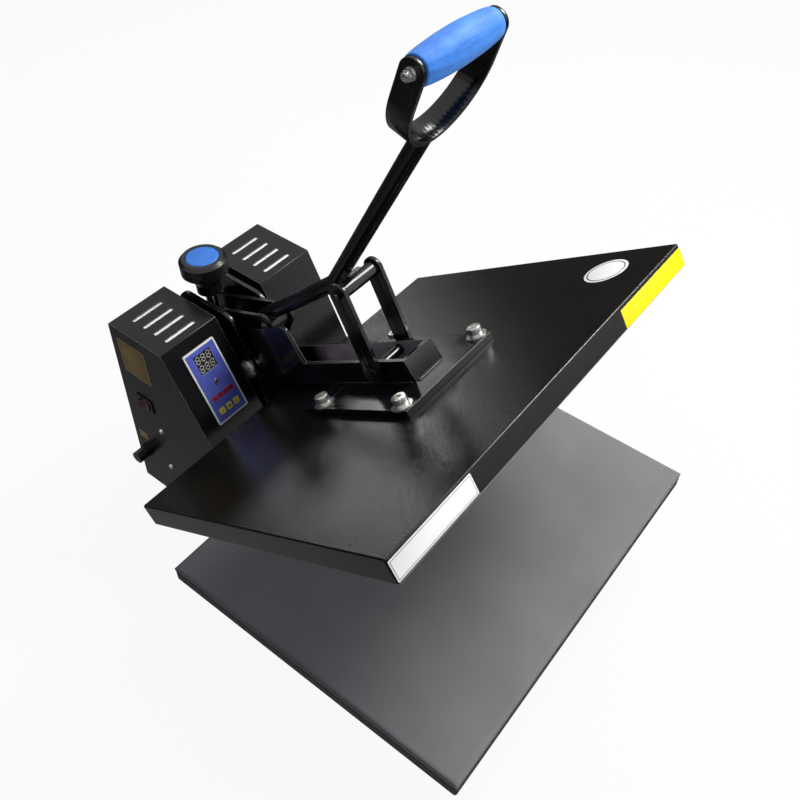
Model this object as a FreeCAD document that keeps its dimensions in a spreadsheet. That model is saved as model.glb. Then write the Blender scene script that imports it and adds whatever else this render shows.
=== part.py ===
import FreeCAD, Part
import math
import os
import Sketcher

# Clamshell heat press for prints up to 400 x 500 mm, modelled open.
# X runs along the platens, Y from the front to the hinge, Z up from the table.
# The origin is on the table, under the middle of the machine.

document = FreeCAD.newDocument("HeatPress")
sheet = document.addObject("Spreadsheet::Sheet", "Sizes")


class Size:
    """A length or an angle: its value, and the expression that gives it."""

    def __init__(self, value, text):
        self.value = float(value)
        self.text = text

    def __add__(self, other):
        other = as_size(other)
        return Size(self.value + other.value, f"({self.text} + {other.text})")

    def __sub__(self, other):
        other = as_size(other)
        return Size(self.value - other.value, f"({self.text} - {other.text})")

    def __mul__(self, other):
        other = as_size(other)
        return Size(self.value * other.value, f"({self.text} * {other.text})")

    def __truediv__(self, other):
        other = as_size(other)
        return Size(self.value / other.value, f"({self.text} / {other.text})")

    def __neg__(self):
        return Size(-self.value, f"(0 - {self.text})")

    def __radd__(self, other):
        return as_size(other) + self

    def __rsub__(self, other):
        return as_size(other) - self

    def __rmul__(self, other):
        return as_size(other) * self


def as_size(number):
    """A plain number as a Size, and a Size as it is."""
    if isinstance(number, Size):
        return number
    return Size(number, f"({float(number)!r})")


def sine(angle):
    return Size(math.sin(math.radians(angle.value)), f"sin({angle.text})")


def cosine(angle):
    return Size(math.cos(math.radians(angle.value)), f"cos({angle.text})")


def tangent(angle):
    return Size(math.tan(math.radians(angle.value)), f"tan({angle.text})")


def root(square):
    return Size(math.sqrt(square.value), f"sqrt({square.text})")


def heading(across, up):
    """The angle in degrees of the direction (across, up)."""
    return Size(math.degrees(math.atan2(up.value, across.value)),
                f"(atan2({up.text}; {across.text}) / 1 deg)")


sheet_rows = []


def size(name, value):
    """Enters a driving dimension in the sheet and hands it back."""
    sheet_rows.append(name)
    row = len(sheet_rows)
    sheet.set(f"A{row}", name)
    sheet.set(f"B{row}", str(value))
    sheet.setAlias(f"B{row}", name)
    return Size(value, f"Sizes.{name}")


# Driving dimensions, in millimetres and degrees.
# Clearances.
flat_gap = size("flat_gap", 0.3)
running_gap = size("running_gap", 0.05)

# Platens. Closed, the heating plate lies on the pad.
platen_width = size("platen_width", 500)
platen_depth = size("platen_depth", 404)
platen_setback = size("platen_setback", 115)
press_height = size("press_height", 142)
pad_thickness = size("pad_thickness", 8)
lower_plate_thickness = size("lower_plate_thickness", 14)
heater_thickness = size("heater_thickness", 12)
heater_reveal = size("heater_reveal", 2)
cover_height = size("cover_height", 27.4)
cover_wall = size("cover_wall", 1.5)
cover_corner = size("cover_corner", 3)
element_thickness = size("element_thickness", 4)
element_inset = size("element_inset", 45)
element_width = size("element_width", 12)
probe_radius = size("probe_radius", 6)

# Hinge of the upper platen.
hinge_back = size("hinge_back", 335.8)
hinge_lift = size("hinge_lift", 21.5)
open_angle = size("open_angle", 33.34)
hinge_shaft_radius = size("hinge_shaft_radius", 10)
hinge_sleeve_radius = size("hinge_sleeve_radius", 18)
hinge_collar_radius = size("hinge_collar_radius", 16)
hinge_collar_width = size("hinge_collar_width", 6)

# Arm of the upper platen and the plate that it is bolted down by.
channel_half = size("channel_half", 23)
channel_wall = size("channel_wall", 5)
channel_top = size("channel_top", 61.5)
channel_front = size("channel_front", 38)
channel_rake = size("channel_rake", 4)
channel_heel = size("channel_heel", 205)
ear_front = size("ear_front", 136)
ear_back = size("ear_back", 206)
ear_top = size("ear_top", 112)
ear_rake = size("ear_rake", 2)
ear_round = size("ear_round", 8)
neck_back = size("neck_back", 225)
neck_top = size("neck_top", 48)
neck_bottom = size("neck_bottom", 10)
neck_overlap = size("neck_overlap", 2)
bolt_plate_width = size("bolt_plate_width", 146)
bolt_plate_depth = size("bolt_plate_depth", 168)
bolt_plate_thickness = size("bolt_plate_thickness", 8)
bolt_plate_back = size("bolt_plate_back", 12.5)
bolt_span = size("bolt_span", 129)
bolt_row_span = size("bolt_row_span", 126)
bolt_centre_back = size("bolt_centre_back", 4.5)
bolt_radius = size("bolt_radius", 5)
bolt_head_radius = size("bolt_head_radius", 8)
bolt_head_height = size("bolt_head_height", 10)
bolt_socket_radius = size("bolt_socket_radius", 4.4)
bolt_thread = size("bolt_thread", 6)
bolt_edge = size("bolt_edge", 0.8)
washer_radius = size("washer_radius", 11.5)
washer_thickness = size("washer_thickness", 2)

# Links between the platen arm and the lever.
link_pivot_back = size("link_pivot_back", 10.5)
link_pivot_lift = size("link_pivot_lift", 52.1)
link_width = size("link_width", 24)
link_thickness = size("link_thickness", 5)
link_inside = size("link_inside", 25.5)
link_pin_radius = size("link_pin_radius", 6)
link_pin_head_radius = size("link_pin_head_radius", 9)
link_pin_head = size("link_pin_head", 2.5)
stud_radius = size("stud_radius", 5)

# Pressure arm, tilted by the screw.
arm_half = size("arm_half", 17)
arm_wall = size("arm_wall", 4)
nose_radius = size("nose_radius", 16)
lever_pivot_back = size("lever_pivot_back", 254.5)
lever_pivot_lift = size("lever_pivot_lift", 181.6)
lever_pin_radius = size("lever_pin_radius", 6)
tilt_pivot_back = size("tilt_pivot_back", 281)
tilt_pivot_lift = size("tilt_pivot_lift", 105)
tilt_boss_radius = size("tilt_boss_radius", 16)
tilt_bolt_radius = size("tilt_bolt_radius", 8)
tilt_washer_radius = size("tilt_washer_radius", 12.5)
tilt_washer_thickness = size("tilt_washer_thickness", 1.4)
tilt_nut_radius = size("tilt_nut_radius", 10.5)
tilt_nut_width = size("tilt_nut_width", 4.5)
arm_tail_back = size("arm_tail_back", 366)
arm_tail_lift = size("arm_tail_lift", 138)
trunnion_back = size("trunnion_back", 364.2)
trunnion_lift = size("trunnion_lift", 112)
trunnion_radius = size("trunnion_radius", 12)
trunnion_journal_radius = size("trunnion_journal_radius", 8)
trunnion_boss_radius = size("trunnion_boss_radius", 14)

# Screw and knob.
screw_lean = size("screw_lean", 4)
screw_radius = size("screw_radius", 7)
screw_room = size("screw_room", 0.8)
screw_point = size("screw_point", 1)
screw_seat_depth = size("screw_seat_depth", 12)
screw_block_top = size("screw_block_top", 20)
screw_block_height = size("screw_block_height", 22)
screw_block_depth = size("screw_block_depth", 34)
knob_radius = size("knob_radius", 29.5)
knob_neck_radius = size("knob_neck_radius", 15.5)
knob_bottom = size("knob_bottom", 57)
knob_neck_top = size("knob_neck_top", 70)
knob_rim_bottom = size("knob_rim_bottom", 85)
knob_top = size("knob_top", 107)
knob_round = size("knob_round", 4)
cap_radius = size("cap_radius", 20.5)
cap_thickness = size("cap_thickness", 3)
cap_edge = size("cap_edge", 2)
cap_crown = size("cap_crown", 1)

# Lever.
tube_radius = size("tube_radius", 9.1)
tube_wall = size("tube_wall", 2)
tube_tail = size("tube_tail", 10)
bend_back = size("bend_back", 156)
bend_lift = size("bend_lift", 290.5)
bend_radius = size("bend_radius", 45)
upper_slope = size("upper_slope", 116.5)
lower_slope = size("lower_slope", 136.2)
lever_boss_radius = size("lever_boss_radius", 11.2)
upper_length = size("upper_length", 241.7)
cross_along = size("cross_along", 30.6)
cross_radius = size("cross_radius", 8.2)
cross_half = size("cross_half", 25)
cross_gap = size("cross_gap", 1.8)
saddle_half = size("saddle_half", 7)
saddle_depth = size("saddle_depth", 5)

# Handle.
handle_lean = size("handle_lean", 17.56)
strap_half = size("strap_half", 53.2)
strap_width = size("strap_width", 23.4)
strap_thickness = size("strap_thickness", 4)
strap_straight = size("strap_straight", 29)
strap_corner = size("strap_corner", 11.2)
grip_radius = size("grip_radius", 15.8)
grip_waist = size("grip_waist", 13)
grip_edge = size("grip_edge", 1.5)
grip_bolt_radius = size("grip_bolt_radius", 4)
grip_nut_radius = size("grip_nut_radius", 6.5)
grip_nut_width = size("grip_nut_width", 6)
grip_washer_radius = size("grip_washer_radius", 7.6)
grip_washer_thickness = size("grip_washer_thickness", 0.8)

# Column behind the platens.
column_inside = size("column_inside", 24)
column_wall = size("column_wall", 5)
column_top = size("column_top", 178)
column_top_front = size("column_top_front", 302)
column_shoulder_front = size("column_shoulder_front", 268)
column_shoulder_lift = size("column_shoulder_lift", 112)
column_foot_front = size("column_foot_front", 222)
column_back = size("column_back", 392)
column_round = size("column_round", 20)
column_plate_thickness = size("column_plate_thickness", 6)

# Base.
foot_height = size("foot_height", 12)
foot_radius = size("foot_radius", 17)
foot_top_radius = size("foot_top_radius", 14)
foot_inset = size("foot_inset", 26)
base_plate_thickness = size("base_plate_thickness", 6)
base_half = size("base_half", 92)
base_front = size("base_front", 172)
base_front_depth = size("base_front_depth", 60)
base_back_front = size("base_back_front", 196)
base_back = size("base_back", 420)
base_round = size("base_round", 8)
rail_half_gauge = size("rail_half_gauge", 60)
rail_width = size("rail_width", 40)
rail_height = size("rail_height", 30)
rail_wall = size("rail_wall", 2.5)
rail_back = size("rail_back", 236)
cap_plate = size("cap_plate", 3)
beam_half = size("beam_half", 150)
beam_width = size("beam_width", 40)
beam_height = size("beam_height", 22)
beam_wall = size("beam_wall", 3)
beam_back = size("beam_back", 105)
post_width = size("post_width", 30)
post_wall = size("post_wall", 3)

# Spacers that carry the housings on the column.
spacer_radius = size("spacer_radius", 6)
spacer_front = size("spacer_front", 272)
spacer_back = size("spacer_back", 378)
spacer_drop = size("spacer_drop", 70)
spacer_rise = size("spacer_rise", 70)

# Control housings, one each side of the column.
housing_inside = size("housing_inside", 38.8)
housing_width = size("housing_width", 87.6)
housing_top = size("housing_top", 179)
housing_top_front = size("housing_top_front", 316.5)
housing_top_back = size("housing_top_back", 407)
housing_slope = size("housing_slope", 62)
housing_slope_bottom = size("housing_slope_bottom", 40)
housing_back = size("housing_back", 424)
housing_bottom = size("housing_bottom", 122)
housing_wall = size("housing_wall", 1.5)
housing_round = size("housing_round", 1.4)
vent_length = size("vent_length", 46)
vent_width = size("vent_width", 5)
vent_pitch = size("vent_pitch", 18.7)
vent_count = 4
vent_back = size("vent_back", 386)

# Control panel on the slope of the left housing.
panel_centre = size("panel_centre", 79.5)
panel_width = size("panel_width", 48)
panel_length = size("panel_length", 98.5)
panel_drop = size("panel_drop", 17)
panel_thickness = size("panel_thickness", 2)
panel_seat = size("panel_seat", 4)
panel_round = size("panel_round", 1.5)
window_width = size("window_width", 26)
window_height = size("window_height", 25)
window_drop = size("window_drop", 8)
window_sink = size("window_sink", 1)
window_recess = size("window_recess", 0.5)
key_size = size("key_size", 8)
key_pitch = size("key_pitch", 11.5)
key_drop = size("key_drop", 84.5)
key_height = size("key_height", 1)
key_skirt = size("key_skirt", 2)
led_width = size("led_width", 7)
led_height = size("led_height", 6)
led_pitch = size("led_pitch", 8.6)
led_drop = size("led_drop", 66)
led_rise = size("led_rise", 0.6)

# Switch, fuse holder and inlet.
rocker_back = size("rocker_back", 374)
rocker_lift = size("rocker_lift", 61)
rocker_length = size("rocker_length", 28)
rocker_height = size("rocker_height", 22)
rocker_rim = size("rocker_rim", 3)
rocker_flange = size("rocker_flange", 2)
rocker_depth = size("rocker_depth", 20)
rocker_tilt = size("rocker_tilt", 10)
rocker_crest = size("rocker_crest", 3)
rocker_belly = size("rocker_belly", 5)
rocker_bevel = size("rocker_bevel", 0.6)
rocker_taper = size("rocker_taper", 3)
switch_wall = size("switch_wall", 1.2)
switch_floor = size("switch_floor", 4)
fuse_back = size("fuse_back", 403)
fuse_lift = size("fuse_lift", -54)
fuse_radius = size("fuse_radius", 7.5)
fuse_flange_radius = size("fuse_flange_radius", 10)
fuse_flange = size("fuse_flange", 3)
fuse_cap_radius = size("fuse_cap_radius", 8.5)
fuse_cap_length = size("fuse_cap_length", 16)
fuse_depth = size("fuse_depth", 22)
gland_radius = size("gland_radius", 9)
gland_length = size("gland_length", 9.6)
gland_bore = size("gland_bore", 4)
gland_rise = size("gland_rise", 34)
gland_taper = size("gland_taper", 2)
gland_stem_radius = size("gland_stem_radius", 6)
gland_stem_length = size("gland_stem_length", 8)

# Electronics inside the housings.
board_thickness = size("board_thickness", 1.6)
board_stand = size("board_stand", 10)
board_inset = size("board_inset", 3)
board_post_radius = size("board_post_radius", 1.6)
board_post_inset = size("board_post_inset", 6)
relay_width = size("relay_width", 45)
relay_height = size("relay_height", 58)
relay_depth = size("relay_depth", 24)
relay_back = size("relay_back", 356)
electronics_drop = size("electronics_drop", 61)
terminal_length = size("terminal_length", 60)
terminal_height = size("terminal_height", 20)
terminal_depth = size("terminal_depth", 16)
terminal_back = size("terminal_back", 364)
panel_screw_radius = size("panel_screw_radius", 4)
panel_screw_height = size("panel_screw_height", 2.2)
panel_screw_edge = size("panel_screw_edge", 1)
panel_screw_back = size("panel_screw_back", 356)
panel_screw_lift = size("panel_screw_lift", 19)
panel_screw_drop = size("panel_screw_drop", 54)

document.recompute()

sub_parts = {}


def along(distance):
    """Y of a point this far behind the middle of the platens."""
    return distance - platen_setback


def above(distance):
    """Z of a point this far above the top of the pad."""
    return press_height + distance


def bind(thing, path, amount):
    """Binds a property to the sheet."""
    thing.setExpression(path, as_size(amount).text)


def place(thing, at=(0, 0, 0), axis=(1, 0, 0), turn=None):
    """Puts an object at a point, turned about an axis, both bound to the sheet."""
    at = [as_size(part) for part in at]
    turn = as_size(turn or 0)
    spin = FreeCAD.Rotation(FreeCAD.Vector(*axis), turn.value)
    thing.Placement = FreeCAD.Placement(FreeCAD.Vector(*[part.value for part in at]), spin)
    for name, part in zip("xyz", at):
        bind(thing, f"Placement.Base.{name}", part)
    if turn.value:
        bind(thing, "Placement.Rotation.Angle", turn)


def keep(node, thing):
    """Names an object as a finished sub-part."""
    thing.Label = node
    sub_parts[node] = thing
    return thing


def new_body(node, finished=True):
    body = document.addObject("PartDesign::Body", node)
    body.Label = node
    if finished:
        sub_parts[node] = body
    return body


def new_sketch(body, plane, start=0):
    """A sketch on one of the body's origin planes, shifted along the plane's normal."""
    sketch = body.newObject("Sketcher::SketchObject", "Sketch")
    base = [item for item in body.Origin.OriginFeatures if item.Role == plane][0]
    sketch.AttachmentSupport = (base, [""])
    sketch.MapMode = "FlatFace"
    bind(sketch, "AttachmentOffset.Base.z", start)
    return sketch


def pin_point(sketch, geometry, which, point):
    """Fixes a point of a sketch's geometry by its two distances from the origin."""
    for kind, part in zip(("DistanceX", "DistanceY"), point):
        part = as_size(part)
        index = sketch.addConstraint(
            Sketcher.Constraint(kind, -1, 1, geometry, which, part.value))
        sketch.setExpression(f"Constraints[{index}]", part.text)


def vector(point):
    return FreeCAD.Vector(as_size(point[0]).value, as_size(point[1]).value, 0)


def draw_polygon(sketch, points):
    """A closed outline of straight lines."""
    first = sketch.GeometryCount
    count = len(points)
    for index in range(count):
        sketch.addGeometry(Part.LineSegment(vector(points[index]),
                                            vector(points[(index + 1) % count])))
    for index in range(count):
        following = first + (index + 1) % count
        sketch.addConstraint(
            Sketcher.Constraint("Coincident", first + index, 2, following, 1))
    for index in range(count):
        pin_point(sketch, first + index, 1, points[index])


def draw_circle(sketch, centre, radius):
    radius = as_size(radius)
    index = sketch.addGeometry(
        Part.Circle(vector(centre), FreeCAD.Vector(0, 0, 1), radius.value))
    pin_point(sketch, index, 3, centre)
    bound = sketch.addConstraint(Sketcher.Constraint("Radius", index, radius.value))
    sketch.setExpression(f"Constraints[{bound}]", radius.text)


def draw_slot(sketch, left, right, radius):
    """A slot with round ends, from one centre to the other along the sketch's X."""
    radius = as_size(radius)
    axis = FreeCAD.Vector(0, 0, 1)
    centres = (vector(left), vector(right))
    first = sketch.GeometryCount
    turns = ((math.pi / 2, 3 * math.pi / 2), (-math.pi / 2, math.pi / 2))
    for centre, turn in zip(centres, turns):
        sketch.addGeometry(Part.ArcOfCircle(Part.Circle(centre, axis, radius.value), *turn))
    lift = FreeCAD.Vector(0, radius.value, 0)
    sketch.addGeometry(Part.LineSegment(centres[0] - lift, centres[1] - lift))
    sketch.addGeometry(Part.LineSegment(centres[1] + lift, centres[0] + lift))
    joints = ((first, 2, first + 2, 1), (first + 2, 2, first + 1, 1),
              (first + 1, 2, first + 3, 1), (first + 3, 2, first, 1))
    for joint in joints:
        sketch.addConstraint(Sketcher.Constraint("Tangent", *joint))
    pin_point(sketch, first, 3, left)
    pin_point(sketch, first + 1, 3, right)
    bound = sketch.addConstraint(Sketcher.Constraint("Radius", first, radius.value))
    sketch.setExpression(f"Constraints[{bound}]", radius.text)


def rectangle(left, right, low, high):
    return [(left, low), (right, low), (right, high), (left, high)]


def pad(body, sketch, length, midplane=False, backwards=False):
    feature = body.newObject("PartDesign::Pad", "Pad")
    feature.Profile = sketch
    feature.SideType = "Symmetric" if midplane else "One side"
    feature.Reversed = backwards
    bind(feature, "Length", length)
    document.recompute()
    return feature


def pocket(body, sketch, length=None, midplane=False, backwards=False):
    """Cuts a sketch out of the body and makes sure that something was cut."""
    before = body.Shape.Volume
    feature = body.newObject("PartDesign::Pocket", "Pocket")
    feature.Profile = sketch
    feature.SideType = "Symmetric" if midplane else "One side"
    feature.Reversed = backwards
    if length is None:
        feature.Type = "ThroughAll"
    else:
        bind(feature, "Length", length)
    document.recompute()
    if not body.Shape.Volume < before:
        raise RuntimeError(f"a pocket of {body.Label} cuts nothing")
    return feature


def revolve(body, outline, plane="XZ_Plane", axis="V_Axis"):
    """Turns an outline about one of its sketch's axes."""
    sketch = new_sketch(body, plane)
    draw_polygon(sketch, outline)
    feature = body.newObject("PartDesign::Revolution", "Revolution")
    feature.Profile = sketch
    feature.ReferenceAxis = (sketch, [axis])
    feature.Angle = 360
    document.recompute()
    return feature


def pick_edges(body, test):
    """Names of the edges of the body's last feature that pass a test."""
    edges = body.Tip.Shape.Edges
    return [f"Edge{index + 1}" for index, edge in enumerate(edges) if test(edge)]


def runs_along(axis):
    """A test for straight edges along X, Y or Z."""
    def test(edge):
        if not isinstance(edge.Curve, Part.Line):
            return False
        direction = edge.Curve.Direction
        return abs(abs((direction.x, direction.y, direction.z)["xyz".index(axis)]) - 1) < 1e-6
    return test


def fillet(body, test, radius):
    """Rounds the edges that pass a test."""
    base = body.Tip
    names = pick_edges(body, test)
    feature = body.newObject("PartDesign::Fillet", "Fillet")
    feature.Base = (base, names)
    bind(feature, "Radius", radius)
    document.recompute()
    return feature


def mirrored(node, source):
    """The same piece on the other side of the machine."""
    twin = document.addObject("Part::Mirroring", node)
    twin.Source = source
    twin.Base = FreeCAD.Vector(0, 0, 0)
    twin.Normal = FreeCAD.Vector(1, 0, 0)
    return keep(node, twin)


def group(node, pieces, axis=(1, 0, 0)):
    """Copies of pieces, each given as (piece, place, turn), kept as one sub-part."""
    copies = []
    for source, at, turn in pieces:
        copy = document.addObject("App::Link", "Copy")
        copy.LinkedObject = source
        copy.LinkTransform = False
        place(copy, at, axis, turn)
        copies.append(copy)
    whole = document.addObject("Part::Compound", node)
    whole.Links = copies
    return keep(node, whole)


def block(node, width, depth, height, at, turn=None, finished=True):
    """A plate or block: sizes along X, Y and Z, placed by the middle of its underside."""
    body = new_body(node, finished)
    sketch = new_sketch(body, "XY_Plane")
    draw_polygon(sketch, rectangle(-width / 2, width / 2, -depth / 2, depth / 2))
    pad(body, sketch, height)
    place(body, at, turn=turn)
    return body


# The upper platen is drawn closed, in a frame on the hinge axis, then opened.
def hinge_frame(body):
    place(body, (0, along(hinge_back), above(hinge_lift)), turn=-open_angle)


def closed_y(distance):
    return distance - hinge_back


def closed_z(distance):
    return distance - hinge_lift


def opened(back, lift):
    """Where a point of the closed platen stands once it is open, as (Y, Z)."""
    across, up = closed_y(back), closed_z(lift)
    turned_y = across * cosine(open_angle) + up * sine(open_angle)
    turned_z = up * cosine(open_angle) - across * sine(open_angle)
    return along(hinge_back) + turned_y, above(hinge_lift) + turned_z


# Base.
def make_base():
    plate_bottom = foot_height
    plates = []
    for low, high in ((-base_front, base_front_depth - base_front),
                      (base_back_front, base_back)):
        plate = block("plate", 2 * base_half, high - low, base_plate_thickness,
                      (0, 0, 0), finished=False)
        fillet(plate, runs_along("z"), base_round)
        plates.append((plate, (0, along((low + high) / 2), plate_bottom), 0))
    group("base_plates", plates)
    rail_bottom = plate_bottom + base_plate_thickness
    rail = new_body("rail", finished=False)
    sketch = new_sketch(rail, "XZ_Plane")
    half = rail_width / 2
    inner = half - rail_wall
    draw_polygon(sketch, rectangle(-half, half, 0, rail_height))
    draw_polygon(sketch, rectangle(-inner, inner, rail_wall, rail_height - rail_wall))
    pad(rail, sketch, rail_back + base_front - 2 * cap_plate, backwards=True)
    end = block("rail_end", rail_width, cap_plate, rail_height, (0, 0, 0), finished=False)
    rows = ((rail, cap_plate - base_front), (end, cap_plate / 2 - base_front),
            (end, rail_back - cap_plate / 2))
    group("base_rails", [(piece, (side * rail_half_gauge, along(back), rail_bottom), 0)
                         for side in (-1, 1) for piece, back in rows])
    foot = new_body("foot", finished=False)
    revolve(foot, [(0, 0), (foot_radius, 0), (foot_top_radius, foot_height),
                   (0, foot_height)])
    side = base_half - foot_inset
    rows = (along(foot_inset - base_front), along(base_back - foot_inset))
    group("rubber_feet", [(foot, (across, row, 0), 0) for across in (-side, side)
                          for row in rows])


# Fixed lower platen.
def make_lower_platen():
    plate_top = -pad_thickness
    plate = block("lower_platen", platen_width, platen_depth, lower_plate_thickness,
                  (0, along(0), above(plate_top - lower_plate_thickness)))
    fillet(plate, runs_along("z"), cover_corner)
    pad_body = block("silicone_pad", platen_width, platen_depth, pad_thickness,
                     (0, along(0), above(plate_top)))
    fillet(pad_body, runs_along("z"), cover_corner)
    beam_bottom = plate_top - lower_plate_thickness - beam_height
    beam = new_body("beam", finished=False)
    sketch = new_sketch(beam, "YZ_Plane")
    half = beam_width / 2
    inner = half - beam_wall
    draw_polygon(sketch, rectangle(-half, half, 0, beam_height))
    draw_polygon(sketch, rectangle(-inner, inner, beam_wall, beam_height - beam_wall))
    pad(beam, sketch, 2 * (beam_half - cap_plate), midplane=True)
    end = block("beam_end", cap_plate, beam_width, beam_height, (0, 0, 0), finished=False)
    cap = beam_half - cap_plate / 2
    group("platen_beams", [(piece, (across, along(back), above(beam_bottom)), 0)
                           for piece, across in ((beam, 0), (end, cap), (end, -cap))
                           for back in (-beam_back, beam_back)])
    post = new_body("post", finished=False)
    sketch = new_sketch(post, "XY_Plane")
    half = post_width / 2
    inner = half - post_wall
    draw_polygon(sketch, rectangle(-half, half, -half, half))
    draw_polygon(sketch, rectangle(-inner, inner, -inner, inner))
    rail_top = foot_height + base_plate_thickness + rail_height
    pad(post, sketch, above(beam_bottom) - rail_top)
    group("platen_posts", [(post, (side * rail_half_gauge, along(back), rail_top), 0)
                           for side in (-1, 1) for back in (-beam_back, beam_back)])


# Column with the hinge shaft, the tilt bolt and the seat of the screw.
def make_column():
    outside = column_inside + column_wall
    floor = foot_height + base_plate_thickness
    hinge = (along(hinge_back), above(hinge_lift))
    tilt = (along(tilt_pivot_back), above(tilt_pivot_lift))
    plate = new_body("column_plate_left")
    sketch = new_sketch(plate, "YZ_Plane", -outside)
    draw_polygon(sketch, [
        (along(column_foot_front), floor),
        (along(column_back), floor),
        (along(column_back), above(column_top)),
        (along(column_top_front), above(column_top)),
        (along(column_shoulder_front), above(column_shoulder_lift))])
    draw_circle(sketch, hinge, hinge_shaft_radius + running_gap)
    draw_circle(sketch, tilt, tilt_bolt_radius + running_gap)
    pad(plate, sketch, column_wall)
    middle = above(column_shoulder_lift / 2).value
    fillet(plate, lambda edge: runs_along("x")(edge) and edge.CenterOfMass.z > middle,
           column_round)
    mirrored("column_plate_right", plate)

    back_plate = block("column_back_plate", 2 * column_inside, column_plate_thickness,
                       above(tilt_pivot_lift) - floor,
                       (0, along(column_back - column_plate_thickness / 2), floor))
    shaft = new_body("hinge_shaft")
    sketch = new_sketch(shaft, "YZ_Plane")
    draw_circle(sketch, hinge, hinge_shaft_radius)
    pad(shaft, sketch, 2 * (outside + hinge_collar_width), midplane=True)
    collar = new_body("collar", finished=False)
    sketch = new_sketch(collar, "YZ_Plane")
    draw_circle(sketch, (0, 0), hinge_collar_radius)
    draw_circle(sketch, (0, 0), hinge_shaft_radius + running_gap)
    pad(collar, sketch, hinge_collar_width)
    group("hinge_collars", [(collar, (outside, *hinge), 0),
                            (collar, (-outside - hinge_collar_width, *hinge), 0)])

    bolt_end = (outside + 2 * tilt_washer_thickness + tilt_washer_gap()
                + tilt_nut_width)
    bolt = new_body("tilt_bolt")
    sketch = new_sketch(bolt, "YZ_Plane")
    draw_circle(sketch, tilt, tilt_bolt_radius)
    pad(bolt, sketch, 2 * bolt_end, midplane=True)
    washer = new_body("washer", finished=False)
    sketch = new_sketch(washer, "YZ_Plane")
    draw_circle(sketch, (0, 0), tilt_washer_radius)
    draw_circle(sketch, (0, 0), tilt_bolt_radius + running_gap)
    pad(washer, sketch, tilt_washer_thickness)
    nut = new_body("nut", finished=False)
    sketch = new_sketch(nut, "YZ_Plane")
    draw_hexagon(sketch, (0, 0), tilt_nut_radius)
    draw_circle(sketch, (0, 0), tilt_bolt_radius + running_gap)
    pad(nut, sketch, tilt_nut_width)
    step = tilt_washer_thickness + tilt_washer_gap()
    near = bolt_end - tilt_nut_width
    pieces = [(nut, (near, *tilt), 0), (nut, (-bolt_end, *tilt), 0)]
    for number in range(2):
        near = outside + number * step
        pieces += [(washer, (near, *tilt), 0), (washer, (-near - tilt_washer_thickness, *tilt), 0)]
    group("tilt_nuts", pieces)

    spacer = new_body("spacer", finished=False)
    sketch = new_sketch(spacer, "YZ_Plane")
    draw_circle(sketch, (0, 0), spacer_radius)
    pad(spacer, sketch, housing_inside - outside)
    pieces = []
    for back, lift in ((spacer_front, -spacer_drop), (spacer_back, -spacer_drop),
                       (spacer_back, spacer_rise)):
        for start in (outside, -housing_inside):
            pieces.append((spacer, (start, along(back), above(lift)), 0))
    group("housing_spacers", pieces)

    seat = new_body("screw_block")
    sketch = new_sketch(seat, "XY_Plane", -screw_block_top)
    draw_polygon(sketch, rectangle(-column_inside, column_inside,
                                   -screw_block_depth / 2, screw_block_depth / 2))
    pad(seat, sketch, screw_block_height, backwards=True)
    sketch = new_sketch(seat, "XY_Plane", -screw_block_top)
    draw_circle(sketch, (0, 0), screw_radius + running_gap)
    pocket(seat, sketch, screw_seat_depth)
    screw_frame(seat)


def tilt_washer_gap():
    """Space between two washers of the stack on the tilt bolt."""
    return flat_gap / 3


def screw_frame(body):
    """Origin on the trunnion, local Z up the screw."""
    place(body, (0, along(trunnion_back), above(trunnion_lift)), turn=-screw_lean)


def draw_hexagon(sketch, centre, across):
    """A regular hexagon with the given corner radius."""
    points = []
    for corner in range(6):
        angle = math.radians(60 * corner)
        points.append((centre[0] + across * math.cos(angle),
                       centre[1] + across * math.sin(angle)))
    draw_polygon(sketch, points)


def hull(circles):
    """The straight tangents round a clockwise ring of circles, as a polygon."""
    points = []
    count = len(circles)
    for index in range(count):
        (start, start_radius), (end, end_radius) = circles[index], circles[(index + 1) % count]
        across, up = end[0] - start[0], end[1] - start[1]
        span = root(across * across + up * up)
        lean = (start_radius - end_radius) / span
        rise = root(1 - lean * lean)
        # Unit normal on the left of the run, turned by the change of radius.
        normal = ((across * lean - up * rise) / span, (up * lean + across * rise) / span)
        points.append((start[0] + start_radius * normal[0], start[1] + start_radius * normal[1]))
        points.append((end[0] + end_radius * normal[0], end[1] + end_radius * normal[1]))
    return points


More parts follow.
